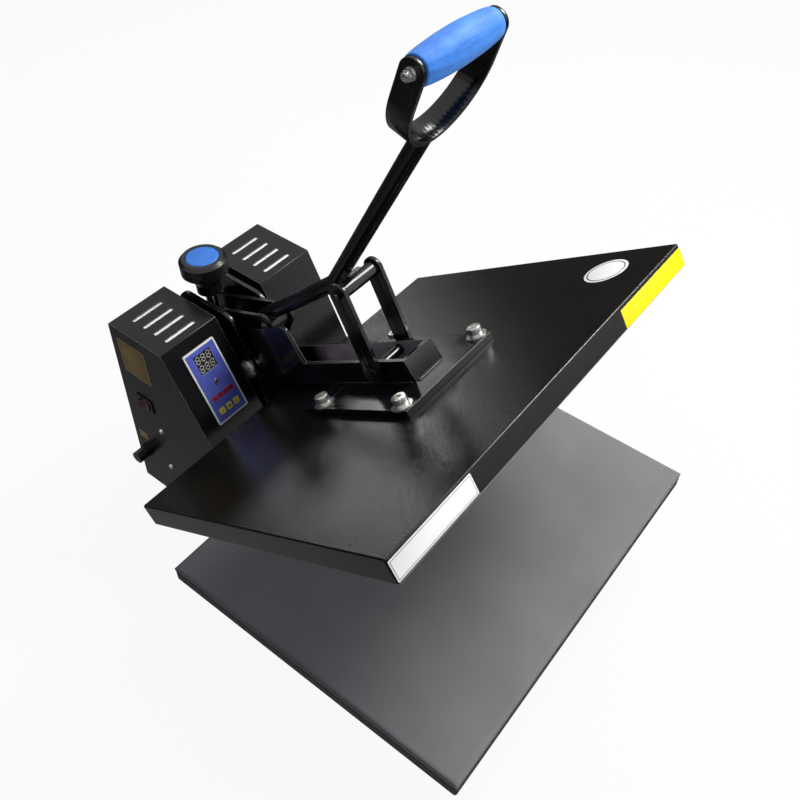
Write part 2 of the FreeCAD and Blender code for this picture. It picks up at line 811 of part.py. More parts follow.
# Arm that carries the lever and is tilted by the screw.
def make_pressure_arm():
    nose = (along(lever_pivot_back), above(lever_pivot_lift))
    tilt = (along(tilt_pivot_back), above(tilt_pivot_lift))
    tail = (along(arm_tail_back), above(arm_tail_lift))
    trunnion = (along(trunnion_back), above(trunnion_lift))
    corners = ((nose, nose_radius), (tail, trunnion_boss_radius),
               (trunnion, trunnion_boss_radius), (tilt, tilt_boss_radius))
    arm = new_body("pressure_arm")
    outline = hull(corners)
    sketch = new_sketch(arm, "YZ_Plane")
    draw_polygon(sketch, outline)
    pad(arm, sketch, 2 * arm_half, midplane=True)
    for centre, radius in corners:
        sketch = new_sketch(arm, "YZ_Plane")
        draw_circle(sketch, centre, radius)
        pad(arm, sketch, 2 * arm_half, midplane=True)
    # Open-topped channel: the floor runs from the tilt bolt to the trunnion.
    floor_start, floor_end = outline[5], outline[4]
    lift = arm_wall
    reach = 3 * trunnion_boss_radius
    sketch = new_sketch(arm, "YZ_Plane")
    draw_polygon(sketch, [
        (floor_start[0] - reach, floor_start[1] - reach),
        (floor_start[0] - reach / 4, floor_start[1] + lift),
        (floor_end[0] + reach, floor_end[1] + lift + reach / 2),
        (floor_end[0] + reach, floor_end[1] + 3 * reach),
        (nose[0] - reach, nose[1] + reach)])
    pocket(arm, sketch, 2 * (arm_half - arm_wall), midplane=True)
    # The floor stops short of the trunnion, which leaves room for the screw.
    sketch = new_sketch(arm, "YZ_Plane")
    draw_circle(sketch, trunnion, trunnion_boss_radius + arm_wall)
    pocket(arm, sketch, 2 * (arm_half - arm_wall), midplane=True)
    sketch = new_sketch(arm, "YZ_Plane")
    draw_circle(sketch, nose, lever_pin_radius + running_gap)
    draw_circle(sketch, tilt, tilt_bolt_radius + running_gap)
    draw_circle(sketch, trunnion, trunnion_journal_radius + running_gap)
    pocket(arm, sketch, 2 * arm_half, midplane=True)

    inside = arm_half - arm_wall
    block_body = new_body("trunnion")
    sketch = new_sketch(block_body, "YZ_Plane")
    draw_circle(sketch, (0, 0), trunnion_radius)
    pad(block_body, sketch, 2 * (inside - flat_gap), midplane=True)
    sketch = new_sketch(block_body, "YZ_Plane")
    draw_circle(sketch, (0, 0), trunnion_journal_radius)
    pad(block_body, sketch, 2 * arm_half, midplane=True)
    sketch = new_sketch(block_body, "XY_Plane")
    draw_circle(sketch, (0, 0), screw_radius + screw_room)
    pocket(block_body, sketch, 2 * trunnion_radius, midplane=True)
    screw_frame(block_body)

    pin = new_body("lever_pin")
    sketch = new_sketch(pin, "YZ_Plane")
    draw_circle(sketch, nose, lever_pin_radius)
    pad(pin, sketch, 2 * arm_half, midplane=True)


# Screw with its knob.
def make_knob():
    screw = new_body("pressure_screw")
    seat = screw_block_top + screw_seat_depth - flat_gap
    revolve(screw, [(0, -seat), (screw_radius - screw_point, -seat),
                    (screw_radius, screw_point - seat),
                    (screw_radius, knob_neck_top), (0, knob_neck_top)])
    screw_frame(screw)
    knob = new_body("pressure_knob")
    bore = screw_radius + running_gap
    recess = cap_radius + flat_gap
    revolve(knob, [
        (bore, knob_bottom), (knob_neck_radius, knob_bottom),
        (knob_neck_radius, knob_neck_top),
        (knob_radius - 2 * knob_round, knob_rim_bottom - knob_round),
        (knob_radius, knob_rim_bottom + knob_round / 2),
        (knob_radius, knob_top - knob_round),
        (knob_radius - knob_round, knob_top),
        (recess, knob_top), (recess, knob_top - cap_thickness),
        (0, knob_top - cap_thickness), (0, knob_neck_top + flat_gap),
        (bore, knob_neck_top + flat_gap)])
    screw_frame(knob)
    cap = new_body("knob_cap")
    revolve(cap, [(0, knob_top - cap_thickness), (cap_radius, knob_top - cap_thickness),
                  (cap_radius, knob_top - cap_crown / 2),
                  (cap_radius - cap_edge, knob_top + cap_crown / 2),
                  (0, knob_top + cap_crown)])
    screw_frame(cap)


def lever_points():
    """Pivot, bend, cross tube and upper end of the lever, each as (Y, Z)."""
    pivot = (along(lever_pivot_back), above(lever_pivot_lift))
    bend = (along(bend_back), above(bend_lift))
    run = (cosine(upper_slope), sine(upper_slope))
    # The side that faces the front and the table.
    side = (-sine(upper_slope), cosine(upper_slope))
    reach = tube_radius + cross_radius + cross_gap
    cross = (bend[0] + cross_along * run[0] + reach * side[0],
             bend[1] + cross_along * run[1] + reach * side[1])
    top = (bend[0] + upper_length * run[0], bend[1] + upper_length * run[1])
    return pivot, bend, cross, top


def make_lever():
    pivot, bend, cross, top = lever_points()
    lower_run = (cosine(lower_slope), sine(lower_slope))
    lower_length = ((bend[0] - pivot[0]) * lower_run[0]
                    + (bend[1] - pivot[1]) * lower_run[1] + tube_tail)
    upper_run = (cosine(upper_slope), sine(upper_slope))
    turn = lower_slope - upper_slope
    trim = bend_radius * tangent(turn / 2)
    start = (bend[0] - lower_length * lower_run[0], bend[1] - lower_length * lower_run[1])
    bend_in = (bend[0] - trim * lower_run[0], bend[1] - trim * lower_run[1])
    bend_out = (bend[0] + trim * upper_run[0], bend[1] + trim * upper_run[1])
    centre = (bend_in[0] + bend_radius * lower_run[1], bend_in[1] - bend_radius * lower_run[0])

    tube = new_body("lever_tube")
    path = new_sketch(tube, "YZ_Plane")
    path.addGeometry(Part.LineSegment(vector(start), vector(bend_in)))
    arc = Part.ArcOfCircle(
        Part.Circle(vector(centre), FreeCAD.Vector(0, 0, 1), bend_radius.value),
        math.radians(upper_slope.value + 90), math.radians(lower_slope.value + 90))
    path.addGeometry(arc)
    path.addGeometry(Part.LineSegment(vector(bend_out), vector(top)))
    path.addConstraint(Sketcher.Constraint("Coincident", 0, 2, 1, 2))
    path.addConstraint(Sketcher.Constraint("Coincident", 1, 1, 2, 1))
    pin_point(path, 0, 1, start)
    pin_point(path, 0, 2, bend_in)
    pin_point(path, 2, 1, bend_out)
    pin_point(path, 2, 2, top)
    bound = path.addConstraint(Sketcher.Constraint("Radius", 1, bend_radius.value))
    path.setExpression(f"Constraints[{bound}]", bend_radius.text)
    ring = new_sketch(tube, "XY_Plane")
    ring.AttachmentOffset = FreeCAD.Placement(
        FreeCAD.Vector(0, start[0].value, start[1].value),
        FreeCAD.Rotation(FreeCAD.Vector(1, 0, 0), (lower_slope - 90).value))
    bind(ring, "AttachmentOffset.Base.y", start[0])
    bind(ring, "AttachmentOffset.Base.z", start[1])
    bind(ring, "AttachmentOffset.Rotation.Angle", lower_slope - 90)
    draw_circle(ring, (0, 0), tube_radius)
    draw_circle(ring, (0, 0), tube_radius - tube_wall)
    document.recompute()
    pipe = tube.newObject("PartDesign::AdditivePipe", "Pipe")
    pipe.Profile = ring
    pipe.Spine = (path, ["Edge1", "Edge2", "Edge3"])
    document.recompute()
    # The boss is welded under the tube's end and turns on the pin.
    boss = new_sketch(tube, "YZ_Plane")
    draw_circle(boss, pivot, lever_boss_radius)
    pad(tube, boss, 2 * (arm_half - arm_wall - flat_gap), midplane=True)
    bore = new_sketch(tube, "YZ_Plane")
    draw_circle(bore, pivot, lever_pin_radius + running_gap)
    pocket(tube, bore, 2 * arm_half, midplane=True)

    cross_tube = new_body("cross_bar", finished=False)
    sketch = new_sketch(cross_tube, "YZ_Plane")
    draw_circle(sketch, cross, cross_radius)
    draw_circle(sketch, cross, stud_radius + running_gap)
    pad(cross_tube, sketch, 2 * cross_half, midplane=True)

    reach = tube_radius + cross_radius + cross_gap
    wedge = block("saddle_blank", 2 * saddle_half, 2 * saddle_depth, reach,
                  (0, cross[0], cross[1]), turn=upper_slope - 180, finished=False)
    tools = []
    for centre_point, radius in ((cross, cross_radius), (None, tube_radius)):
        tool = document.addObject("Part::Cylinder", "Tool")
        bind(tool, "Radius", radius)
        bind(tool, "Height", 4 * bend_radius)
        tools.append(tool)
    place(tools[0], (-2 * bend_radius, cross[0], cross[1]), axis=(0, 1, 0), turn=90)
    place(tools[1], (0, bend[0] - bend_radius * upper_run[0], bend[1] - bend_radius * upper_run[1]),
          turn=upper_slope - 90)
    both = document.addObject("Part::MultiFuse", "Tools")
    both.Shapes = tools
    saddle = document.addObject("Part::Cut", "saddle")
    saddle.Base = wedge
    saddle.Tool = both
    welded = document.addObject("Part::Fuse", "cross_tube")
    welded.Base = cross_tube
    welded.Tool = saddle
    keep("cross_tube", welded)


def handle_place():
    """Middle of the grip, and how far the handle leans from upright."""
    _, _, _, top = lever_points()
    # The strap's bow stands on the highest corner of the tube's end.
    seat = tube_radius * sine(upper_slope - 90 - handle_lean) + flat_gap
    reach = strap_straight + strap_half + strap_thickness / 2 + seat
    grip = (top[0] - reach * sine(handle_lean), top[1] + reach * cosine(handle_lean))
    return grip, handle_lean


def handle_frame(body):
    """Origin in the middle of the grip, local Z away from the lever."""
    grip, lean = handle_place()
    place(body, (0, *grip), turn=lean)


def make_handle():
    half = strap_thickness / 2
    outer, inner = strap_half + half, strap_half - half
    strap = new_body("handle_strap")
    for radius, top, cut in ((outer, strap_width / 2, False), (inner, strap_width, True)):
        sketch = new_sketch(strap, "XZ_Plane")
        draw_circle(sketch, (0, -strap_straight), radius)
        if cut:
            pocket(strap, sketch, 2 * strap_width, midplane=True)
        else:
            pad(strap, sketch, strap_width, midplane=True)
            sketch = new_sketch(strap, "XZ_Plane")
            draw_polygon(sketch, rectangle(-radius, radius, -strap_straight, top))
            pad(strap, sketch, strap_width, midplane=True)
    # The room between the legs goes up past the top of the bow's circle.
    sketch = new_sketch(strap, "XZ_Plane")
    draw_polygon(sketch, rectangle(-inner, inner, -strap_straight, outer))
    pocket(strap, sketch, 2 * strap_width, midplane=True)
    sketch = new_sketch(strap, "YZ_Plane")
    draw_circle(sketch, (0, 0), grip_bolt_radius + running_gap)
    pocket(strap, sketch, 4 * strap_half, midplane=True)
    top = strap_width.value / 2
    fillet(strap, lambda edge: runs_along("x")(edge) and abs(edge.CenterOfMass.z - top) < 0.01,
           strap_corner)
    handle_frame(strap)

    grip = new_body("handle_grip")
    end = inner - flat_gap
    bore = grip_bolt_radius + flat_gap
    revolve(grip, [(-end, bore), (end, bore), (end, grip_waist - grip_edge),
                   (end - grip_edge, grip_waist), (end / 2, grip_radius),
                   (-end / 2, grip_radius), (grip_edge - end, grip_waist),
                   (-end, grip_waist - grip_edge)], axis="H_Axis")
    handle_frame(grip)

    bolt = new_body("grip_bolt")
    reach = outer + grip_washer_thickness + grip_nut_width
    sketch = new_sketch(bolt, "YZ_Plane")
    draw_circle(sketch, (0, 0), grip_bolt_radius)
    pad(bolt, sketch, 2 * reach, midplane=True)
    handle_frame(bolt)
    centre, lean = handle_place()
    pieces = []
    for shape, width, radius, near in (
            (draw_circle, grip_washer_thickness, grip_washer_radius, outer),
            (draw_hexagon, grip_nut_width, grip_nut_radius, outer + grip_washer_thickness)):
        ring = new_body("ring", finished=False)
        sketch = new_sketch(ring, "YZ_Plane")
        shape(sketch, (0, 0), radius)
        draw_circle(sketch, (0, 0), grip_bolt_radius + running_gap)
        pad(ring, sketch, width)
        pieces += [(ring, (near, *centre), lean), (ring, (-near - width, *centre), lean)]
    group("grip_nuts", pieces)


# Upper platen, its cover and the arm bolted to it.
def make_upper_platen():
    middle = closed_y(as_size(0))
    plate = new_body("heating_plate")
    sketch = new_sketch(plate, "XY_Plane", closed_z(flat_gap))
    width = platen_width / 2 - cover_wall - flat_gap
    depth = platen_depth / 2 - cover_wall - flat_gap
    draw_polygon(sketch, rectangle(-width, width, middle - depth, middle + depth))
    pad(plate, sketch, heater_thickness)
    fillet(plate, runs_along("z"), cover_corner - cover_wall)
    top = flat_gap + heater_thickness
    sketch = new_sketch(plate, "XY_Plane", closed_z(top))
    draw_bolt_holes(sketch, running_gap)
    pocket(plate, sketch, bolt_thread + flat_gap)
    hinge_frame(plate)

    cover = new_body("platen_cover")
    sketch = new_sketch(cover, "XY_Plane", closed_z(heater_reveal))
    draw_polygon(sketch, rectangle(-platen_width / 2, platen_width / 2,
                                   middle - platen_depth / 2, middle + platen_depth / 2))
    pad(cover, sketch, cover_height - heater_reveal)
    fillet(cover, runs_along("z"), cover_corner)
    roof = closed_z(cover_height).value
    fillet(cover, lambda edge: abs(edge.BoundBox.ZMin - roof) < 0.01, cover_wall)
    sketch = new_sketch(cover, "XY_Plane", closed_z(heater_reveal))
    inner_width = platen_width / 2 - cover_wall
    inner_depth = platen_depth / 2 - cover_wall
    draw_polygon(sketch, rectangle(-inner_width, inner_width,
                                   middle - inner_depth, middle + inner_depth))
    pocket(cover, sketch, cover_height - heater_reveal - cover_wall, backwards=True)
    sketch = new_sketch(cover, "XY_Plane", closed_z(cover_height))
    draw_bolt_holes(sketch, running_gap)
    pocket(cover, sketch, 2 * cover_wall)
    hinge_frame(cover)

    element = new_body("heating_element")
    sketch = new_sketch(element, "XY_Plane", closed_z(top))
    out_x, out_y = width - element_inset, depth - element_inset
    in_x, in_y = out_x - element_width, out_y - element_width
    draw_polygon(sketch, rectangle(-out_x, out_x, middle - out_y, middle + out_y))
    draw_polygon(sketch, rectangle(-in_x, in_x, middle - in_y, middle + in_y))
    pad(element, sketch, element_thickness)
    hinge_frame(element)
    board = new_body("insulation_board")
    sketch = new_sketch(board, "XY_Plane", closed_z(top + element_thickness))
    draw_polygon(sketch, rectangle(flat_gap - width, width - flat_gap,
                                   middle - depth + flat_gap, middle + depth - flat_gap))
    draw_bolt_holes(sketch, flat_gap)
    pad(board, sketch, cover_height - cover_wall - top - element_thickness)
    hinge_frame(board)
    probe = new_body("thermostat_probe")
    sketch = new_sketch(probe, "XY_Plane", closed_z(top))
    draw_circle(sketch, (0, middle), probe_radius)
    pad(probe, sketch, element_thickness - flat_gap)
    hinge_frame(probe)


def bolt_places():
    """Where the four plate bolts stand: across, and behind the middle of the platens."""
    return [(side * bolt_span / 2, bolt_centre_back + end * bolt_row_span / 2)
            for side in (-1, 1) for end in (-1, 1)]


def draw_bolt_holes(sketch, room):
    """Holes for the four plate bolts, in a piece drawn from the hinge."""
    for across, back in bolt_places():
        draw_circle(sketch, (across, closed_y(back)), bolt_radius + room)


def make_platen_arm():
    floor = cover_height + bolt_plate_thickness
    middle = closed_y(bolt_plate_back)
    plate = new_body("bolt_plate")
    sketch = new_sketch(plate, "XY_Plane", closed_z(cover_height))
    half_x, half_y = bolt_plate_width / 2, bolt_plate_depth / 2
    draw_polygon(sketch, rectangle(-half_x, half_x, middle - half_y, middle + half_y))
    draw_bolt_holes(sketch, running_gap)
    pad(plate, sketch, bolt_plate_thickness)
    hinge_frame(plate)

    front = [(closed_y(-channel_front - channel_rake), closed_z(floor)),
             (closed_y(-channel_front), closed_z(channel_top))]
    ear = [(closed_y(ear_front - ear_rake), closed_z(channel_top)),
           (closed_y(ear_front), closed_z(ear_top)),
           (closed_y(ear_back), closed_z(ear_top))]
    heel = [(closed_y(neck_back), closed_z(neck_top)),
            (-hinge_sleeve_radius, hinge_sleeve_radius + neck_overlap),
            (as_size(0), hinge_sleeve_radius + neck_overlap),
            (as_size(0), -hinge_sleeve_radius - neck_overlap),
            (closed_y(channel_heel), closed_z(neck_bottom)),
            (closed_y(channel_heel), closed_z(floor))]
    low = closed_z((channel_top + ear_top) / 2).value
    cheeks = []
    # Only the left cheek rises to an ear.
    for name, top in (("cheek_left", ear),
                      ("cheek_right", [(closed_y(ear_back), closed_z(channel_top))])):
        cheek = new_body(name, finished=False)
        sketch = new_sketch(cheek, "YZ_Plane")
        draw_polygon(sketch, front + top + heel)
        pad(cheek, sketch, channel_wall)
        if top is ear:
            fillet(cheek, lambda edge: runs_along("x")(edge) and edge.CenterOfMass.z > low,
                   ear_round)
        sketch = new_sketch(cheek, "YZ_Plane")
        draw_circle(sketch, (0, 0), hinge_sleeve_radius + channel_wall)
        pad(cheek, sketch, channel_wall)
        sketch = new_sketch(cheek, "YZ_Plane")
        draw_circle(sketch, (0, 0), hinge_sleeve_radius)
        draw_circle(sketch, (closed_y(link_pivot_back), closed_z(link_pivot_lift)),
                    link_pin_radius + running_gap)
        pocket(cheek, sketch, channel_wall, backwards=True)
        cheeks.append(cheek)

    inside = channel_half - channel_wall
    web = floor + channel_wall
    welded = []
    for name, outline in (
            ("web", [(closed_y(-channel_front), closed_z(floor)),
                     (closed_y(channel_heel), closed_z(floor)),
                     (closed_y(channel_heel), closed_z(neck_bottom)),
                     (closed_y(channel_heel + channel_wall), closed_z(neck_bottom)),
                     (closed_y(channel_heel + channel_wall), closed_z(web)),
                     (closed_y(-channel_front), closed_z(web))]),
            ("front", [(closed_y(-channel_front - channel_rake), closed_z(floor)),
                       (closed_y(-channel_front), closed_z(floor)),
                       (closed_y(-channel_front), closed_z(web)),
                       (closed_y(channel_wall - channel_front), closed_z(channel_top)),
                       (closed_y(-channel_front), closed_z(channel_top))])):
        piece = new_body(name, finished=False)
        sketch = new_sketch(piece, "YZ_Plane")
        draw_polygon(sketch, outline)
        pad(piece, sketch, 2 * inside, midplane=True)
        welded.append((piece, 0))
    hinge = (along(hinge_back), above(hinge_lift))
    group("platen_arm", [(piece, (across, *hinge), -open_angle)
                         for piece, across in
                         [(cheeks[0], -channel_half), (cheeks[1], inside)] + welded])

    sleeve = new_body("hinge_sleeve")
    sketch = new_sketch(sleeve, "YZ_Plane")
    draw_circle(sketch, (0, 0), hinge_sleeve_radius)
    draw_circle(sketch, (0, 0), hinge_shaft_radius + running_gap)
    pad(sleeve, sketch, 2 * channel_half, midplane=True)
    hinge_frame(sleeve)

    pin = new_body("link_pin")
    centre = (closed_y(link_pivot_back), closed_z(link_pivot_lift))
    outside = link_inside + link_thickness + flat_gap
    sketch = new_sketch(pin, "YZ_Plane")
    draw_circle(sketch, centre, link_pin_radius)
    pad(pin, sketch, 2 * (outside + link_pin_head), midplane=True)
    for start in (outside, -outside - link_pin_head):
        sketch = new_sketch(pin, "YZ_Plane", start)
        draw_circle(sketch, centre, link_pin_head_radius)
        pad(pin, sketch, link_pin_head)
    hinge_frame(pin)

    bolt = new_body("bolt", finished=False)
    deep = flat_gap + heater_thickness - bolt_thread - floor - washer_thickness
    outline = [(0, deep), (bolt_radius, deep), (bolt_radius, 0), (bolt_head_radius, 0),
               (bolt_head_radius, bolt_head_height - bolt_edge),
               (bolt_head_radius - bolt_edge, bolt_head_height), (0, bolt_head_height)]
    revolve(bolt, outline)
    sketch = new_sketch(bolt, "XY_Plane", bolt_head_height)
    draw_hexagon(sketch, (0, 0), bolt_socket_radius)
    pocket(bolt, sketch, bolt_head_height / 2)
    washer = new_body("plate_washer", finished=False)
    sketch = new_sketch(washer, "XY_Plane")
    draw_circle(sketch, (0, 0), washer_radius)
    draw_circle(sketch, (0, 0), bolt_radius + running_gap)
    pad(washer, sketch, washer_thickness)
    group("plate_bolts", [(piece, (across, *opened(back, lift)), -open_angle)
                          for piece, lift in ((bolt, floor + washer_thickness), (washer, floor))
                          for across, back in bolt_places()])


# Links, each with the stud that turns in the cross tube's end.
def make_links():
    pivot = opened(link_pivot_back, link_pivot_lift)
    _, _, cross, _ = lever_points()
    across, up = cross[0] - pivot[0], cross[1] - pivot[1]
    span = root(across * across + up * up)
    link = new_body("link_right")
    half = link_width / 2
    sketch = new_sketch(link, "YZ_Plane", link_inside)
    draw_polygon(sketch, rectangle(-half, half, 0, span))
    pad(link, sketch, link_thickness)
    for lift in (0, span):
        sketch = new_sketch(link, "YZ_Plane", link_inside)
        draw_circle(sketch, (0, lift), half)
        pad(link, sketch, link_thickness)
    sketch = new_sketch(link, "YZ_Plane", link_inside)
    draw_circle(sketch, (0, 0), link_pin_radius + running_gap)
    draw_circle(sketch, (0, span), stud_radius + running_gap)
    pocket(link, sketch, link_thickness, backwards=True)
    lean = heading(across, up) - 90
    place(link, (0, *pivot), turn=lean)
    mirrored("link_left", link)
    stud = new_body("stud", finished=False)
    sketch = new_sketch(stud, "YZ_Plane")
    draw_circle(sketch, (0, span), stud_radius)
    pad(stud, sketch, link_thickness + 2 * link_pin_head, midplane=True)
    middle = link_inside + link_thickness / 2 + link_pin_head
    group("link_studs", [(stud, (side * middle, *pivot), lean) for side in (-1, 1)])


def slope_frame(body):
    """Origin on the top edge of the slope, local Y up it and local Z out of it."""
    place(body, (-panel_centre, along(housing_top_front), above(housing_top)),
          turn=housing_slope)


def housing_profile(inset):
    """Side view of a housing, drawn in by the thickness of its wall."""
    bottom_front = housing_top_front - (housing_top - housing_slope_bottom) / tangent(housing_slope)
    # How far the corner of the slope moves along the top as it is drawn in.
    slip = inset * tangent(housing_slope / 2)
    front = bottom_front + inset
    return [
        (along(front), above(inset - housing_bottom)),
        (along(housing_back - inset), above(inset - housing_bottom)),
        (along(housing_top_back - inset), above(housing_top - inset)),
        (along(housing_top_front + slip), above(housing_top - inset)),
        (along(front), above(housing_slope_bottom - slip))]


def make_housings():
    """Folded sheet housings, open at the back behind a screwed panel."""
    outside = housing_inside + housing_width
    middle = housing_inside + housing_width / 2
    shell = new_body("housing_right")
    sketch = new_sketch(shell, "YZ_Plane", housing_inside)
    draw_polygon(sketch, housing_profile(as_size(0)))
    pad(shell, sketch, housing_width)
    fillet(shell, runs_along("x"), housing_round)
    sketch = new_sketch(shell, "YZ_Plane", housing_inside + housing_wall)
    inner = housing_profile(housing_wall)
    # The back is left open for its panel.
    inner[1] = (inner[1][0] + 3 * housing_wall, inner[1][1])
    inner[2] = (inner[2][0] + 3 * housing_wall, inner[2][1])
    draw_polygon(sketch, inner)
    pocket(shell, sketch, housing_width - 2 * housing_wall, backwards=True)
    sketch = new_sketch(shell, "XY_Plane", above(housing_top))
    reach = vent_length / 2 - vent_width / 2
    draw_slot(sketch, (middle - reach, along(vent_back)), (middle + reach, along(vent_back)),
              vent_width / 2)
    slot = pocket(shell, sketch, 3 * housing_wall)
    pattern = shell.newObject("PartDesign::LinearPattern", "Vents")
    pattern.Originals = [slot]
    pattern.Direction = (sketch, ["V_Axis"])
    pattern.Reversed = True
    bind(pattern, "Length", (vent_count - 1) * vent_pitch)
    pattern.Occurrences = vent_count
    shell.Tip = pattern
    document.recompute()
    left = document.addObject("Part::Mirroring", "left_blank")
    left.Source = shell
    left.Normal = FreeCAD.Vector(1, 0, 0)

    # Openings of the left housing: control panel, switch, fuse holder.
    cutters = []
    window = block("panel_window", panel_width - 2 * panel_seat,
                   panel_length - 2 * panel_seat, 6 * housing_wall, (0, 0, 0),
                   finished=False)
    slope_offset(window, -(panel_drop + panel_length / 2), -3 * housing_wall)
    cutters.append(window)
    switch_hole = block("switch_hole", 6 * housing_wall, rocker_length - 2 * rocker_rim,
                        rocker_height - 2 * rocker_rim,
                        (-outside, along(rocker_back),
                         above(rocker_lift - rocker_height / 2 + rocker_rim)), finished=False)
    cutters.append(switch_hole)
    fuse_hole = document.addObject("Part::Cylinder", "fuse_hole")
    bind(fuse_hole, "Radius", fuse_radius + flat_gap)
    bind(fuse_hole, "Height", 6 * housing_wall)
    place(fuse_hole, (-outside - 3 * housing_wall, along(fuse_back), above(fuse_lift)),
          axis=(0, 1, 0), turn=90)
    cutters.append(fuse_hole)
    holes = document.addObject("Part::MultiFuse", "left_openings")
    holes.Shapes = cutters
    housing = document.addObject("Part::Cut", "housing_left")
    housing.Base = left
    housing.Tool = holes
    keep("housing_left", housing)

    # Back panels, folded along the lean of the back edge.
    panel = new_body("back_panel", finished=False)
    gap = flat_gap
    profile = housing_profile(housing_wall)
    low, high = profile[1], profile[2]
    sketch = new_sketch(panel, "YZ_Plane", housing_inside + housing_wall + gap)
    draw_polygon(sketch, [(low[0], low[1] + gap), (low[0] + housing_wall, low[1] + gap),
                          (high[0] + housing_wall, high[1] - gap), (high[0], high[1] - gap)])
    pad(panel, sketch, housing_width - 2 * (housing_wall + gap))
    twin = document.addObject("Part::Mirroring", "left_panel")
    twin.Source = panel
    twin.Normal = FreeCAD.Vector(1, 0, 0)
    hole = document.addObject("Part::Cylinder", "gland_hole")
    bind(hole, "Radius", gland_stem_radius + running_gap)
    bind(hole, "Height", 2 * gland_stem_length)
    across, back, lift, lean = gland_place()
    place(hole, (across, back - gland_stem_length * cosine(lean + 90),
                 lift - gland_stem_length * sine(lean + 90)), turn=lean)
    drilled = document.addObject("Part::Cut", "drilled_panel")
    drilled.Base = twin
    drilled.Tool = hole
    group("back_panels", [(panel, (0, 0, 0), 0), (drilled, (0, 0, 0), 0)])


def gland_place():
    """Where the gland stands on the leaning back of the left housing, and its turn."""
    edge = housing_wall + flat_gap
    fall = (housing_back - housing_top_back) / (housing_top + housing_bottom - 2 * edge)
    back = along(housing_back - fall * (gland_rise - edge))
    lean = heading(as_size(1), fall) - 90
    return -housing_inside - housing_width / 2, back, above(gland_rise - housing_bottom), lean


def slope_offset(body, up_slope, outward):
    """Moves a piece along and out of the slope of the left housing."""
    across = cosine(housing_slope) * up_slope - sine(housing_slope) * outward
    up = sine(housing_slope) * up_slope + cosine(housing_slope) * outward
    place(body, (-panel_centre, along(housing_top_front) + across, above(housing_top) + up),
          turn=housing_slope)


def make_control_panel():
    panel = new_body("control_panel")
    low = -(panel_drop + panel_length)
    high = -panel_drop
    half = panel_width / 2
    sketch = new_sketch(panel, "XY_Plane")
    draw_polygon(sketch, rectangle(-half, half, low, high))
    pad(panel, sketch, panel_thickness)
    fillet(panel, runs_along("z"), panel_round)
    window_top = high - window_drop
    cuts = [rectangle(-window_width / 2, window_width / 2, window_top - window_height, window_top)]
    for number in range(3):
        middle = (number - 1) * key_pitch
        centre = high - key_drop
        reach = key_size / 2 + flat_gap
        cuts.append(rectangle(middle - reach, middle + reach, centre - reach, centre + reach))
    for outline in cuts:
        sketch = new_sketch(panel, "XY_Plane", panel_thickness)
        draw_polygon(sketch, outline)
        pocket(panel, sketch)
    slope_frame(panel)

    window = new_body("display_window")
    sketch = new_sketch(window, "XY_Plane", -window_sink)
    draw_polygon(sketch, rectangle(flat_gap - window_width / 2, window_width / 2 - flat_gap,
                                   window_top - window_height + flat_gap, window_top - flat_gap))
    pad(window, sketch, window_sink + panel_thickness - window_recess)
    slope_frame(window)

    for number, node in enumerate(("key_left", "key_middle", "key_right")):
        key = new_body(node)
        middle = (number - 1) * key_pitch
        centre = high - key_drop
        reach = key_size / 2
        sketch = new_sketch(key, "XY_Plane", -key_skirt)
        draw_polygon(sketch, rectangle(middle - reach, middle + reach,
                                       centre - reach, centre + reach))
        pad(key, sketch, key_skirt + panel_thickness + key_height)
        slope_frame(key)

    lamp = new_body("lamp", finished=False)
    centre = high - led_drop
    sketch = new_sketch(lamp, "XY_Plane", panel_thickness)
    draw_polygon(sketch, rectangle(-led_width / 2, led_width / 2,
                                   centre - led_height / 2, centre + led_height / 2))
    pad(lamp, sketch, led_rise)
    group("indicator_lamps", [
        (lamp, ((number - 1.5) * led_pitch - panel_centre, along(housing_top_front),
                above(housing_top)), housing_slope) for number in range(4)])

    board = new_body("controller_board")
    sketch = new_sketch(board, "XY_Plane", -board_stand)
    draw_polygon(sketch, rectangle(board_inset - half, half - board_inset,
                                   low + board_inset, high - board_inset))
    pad(board, sketch, board_thickness, backwards=True)
    for across in (board_post_inset - half, half - board_post_inset):
        for along_slope in (low + board_post_inset, high - board_post_inset):
            sketch = new_sketch(board, "XY_Plane", -board_stand)
            draw_circle(sketch, (across, along_slope), board_post_radius)
            pad(board, sketch, board_stand)
    slope_frame(board)


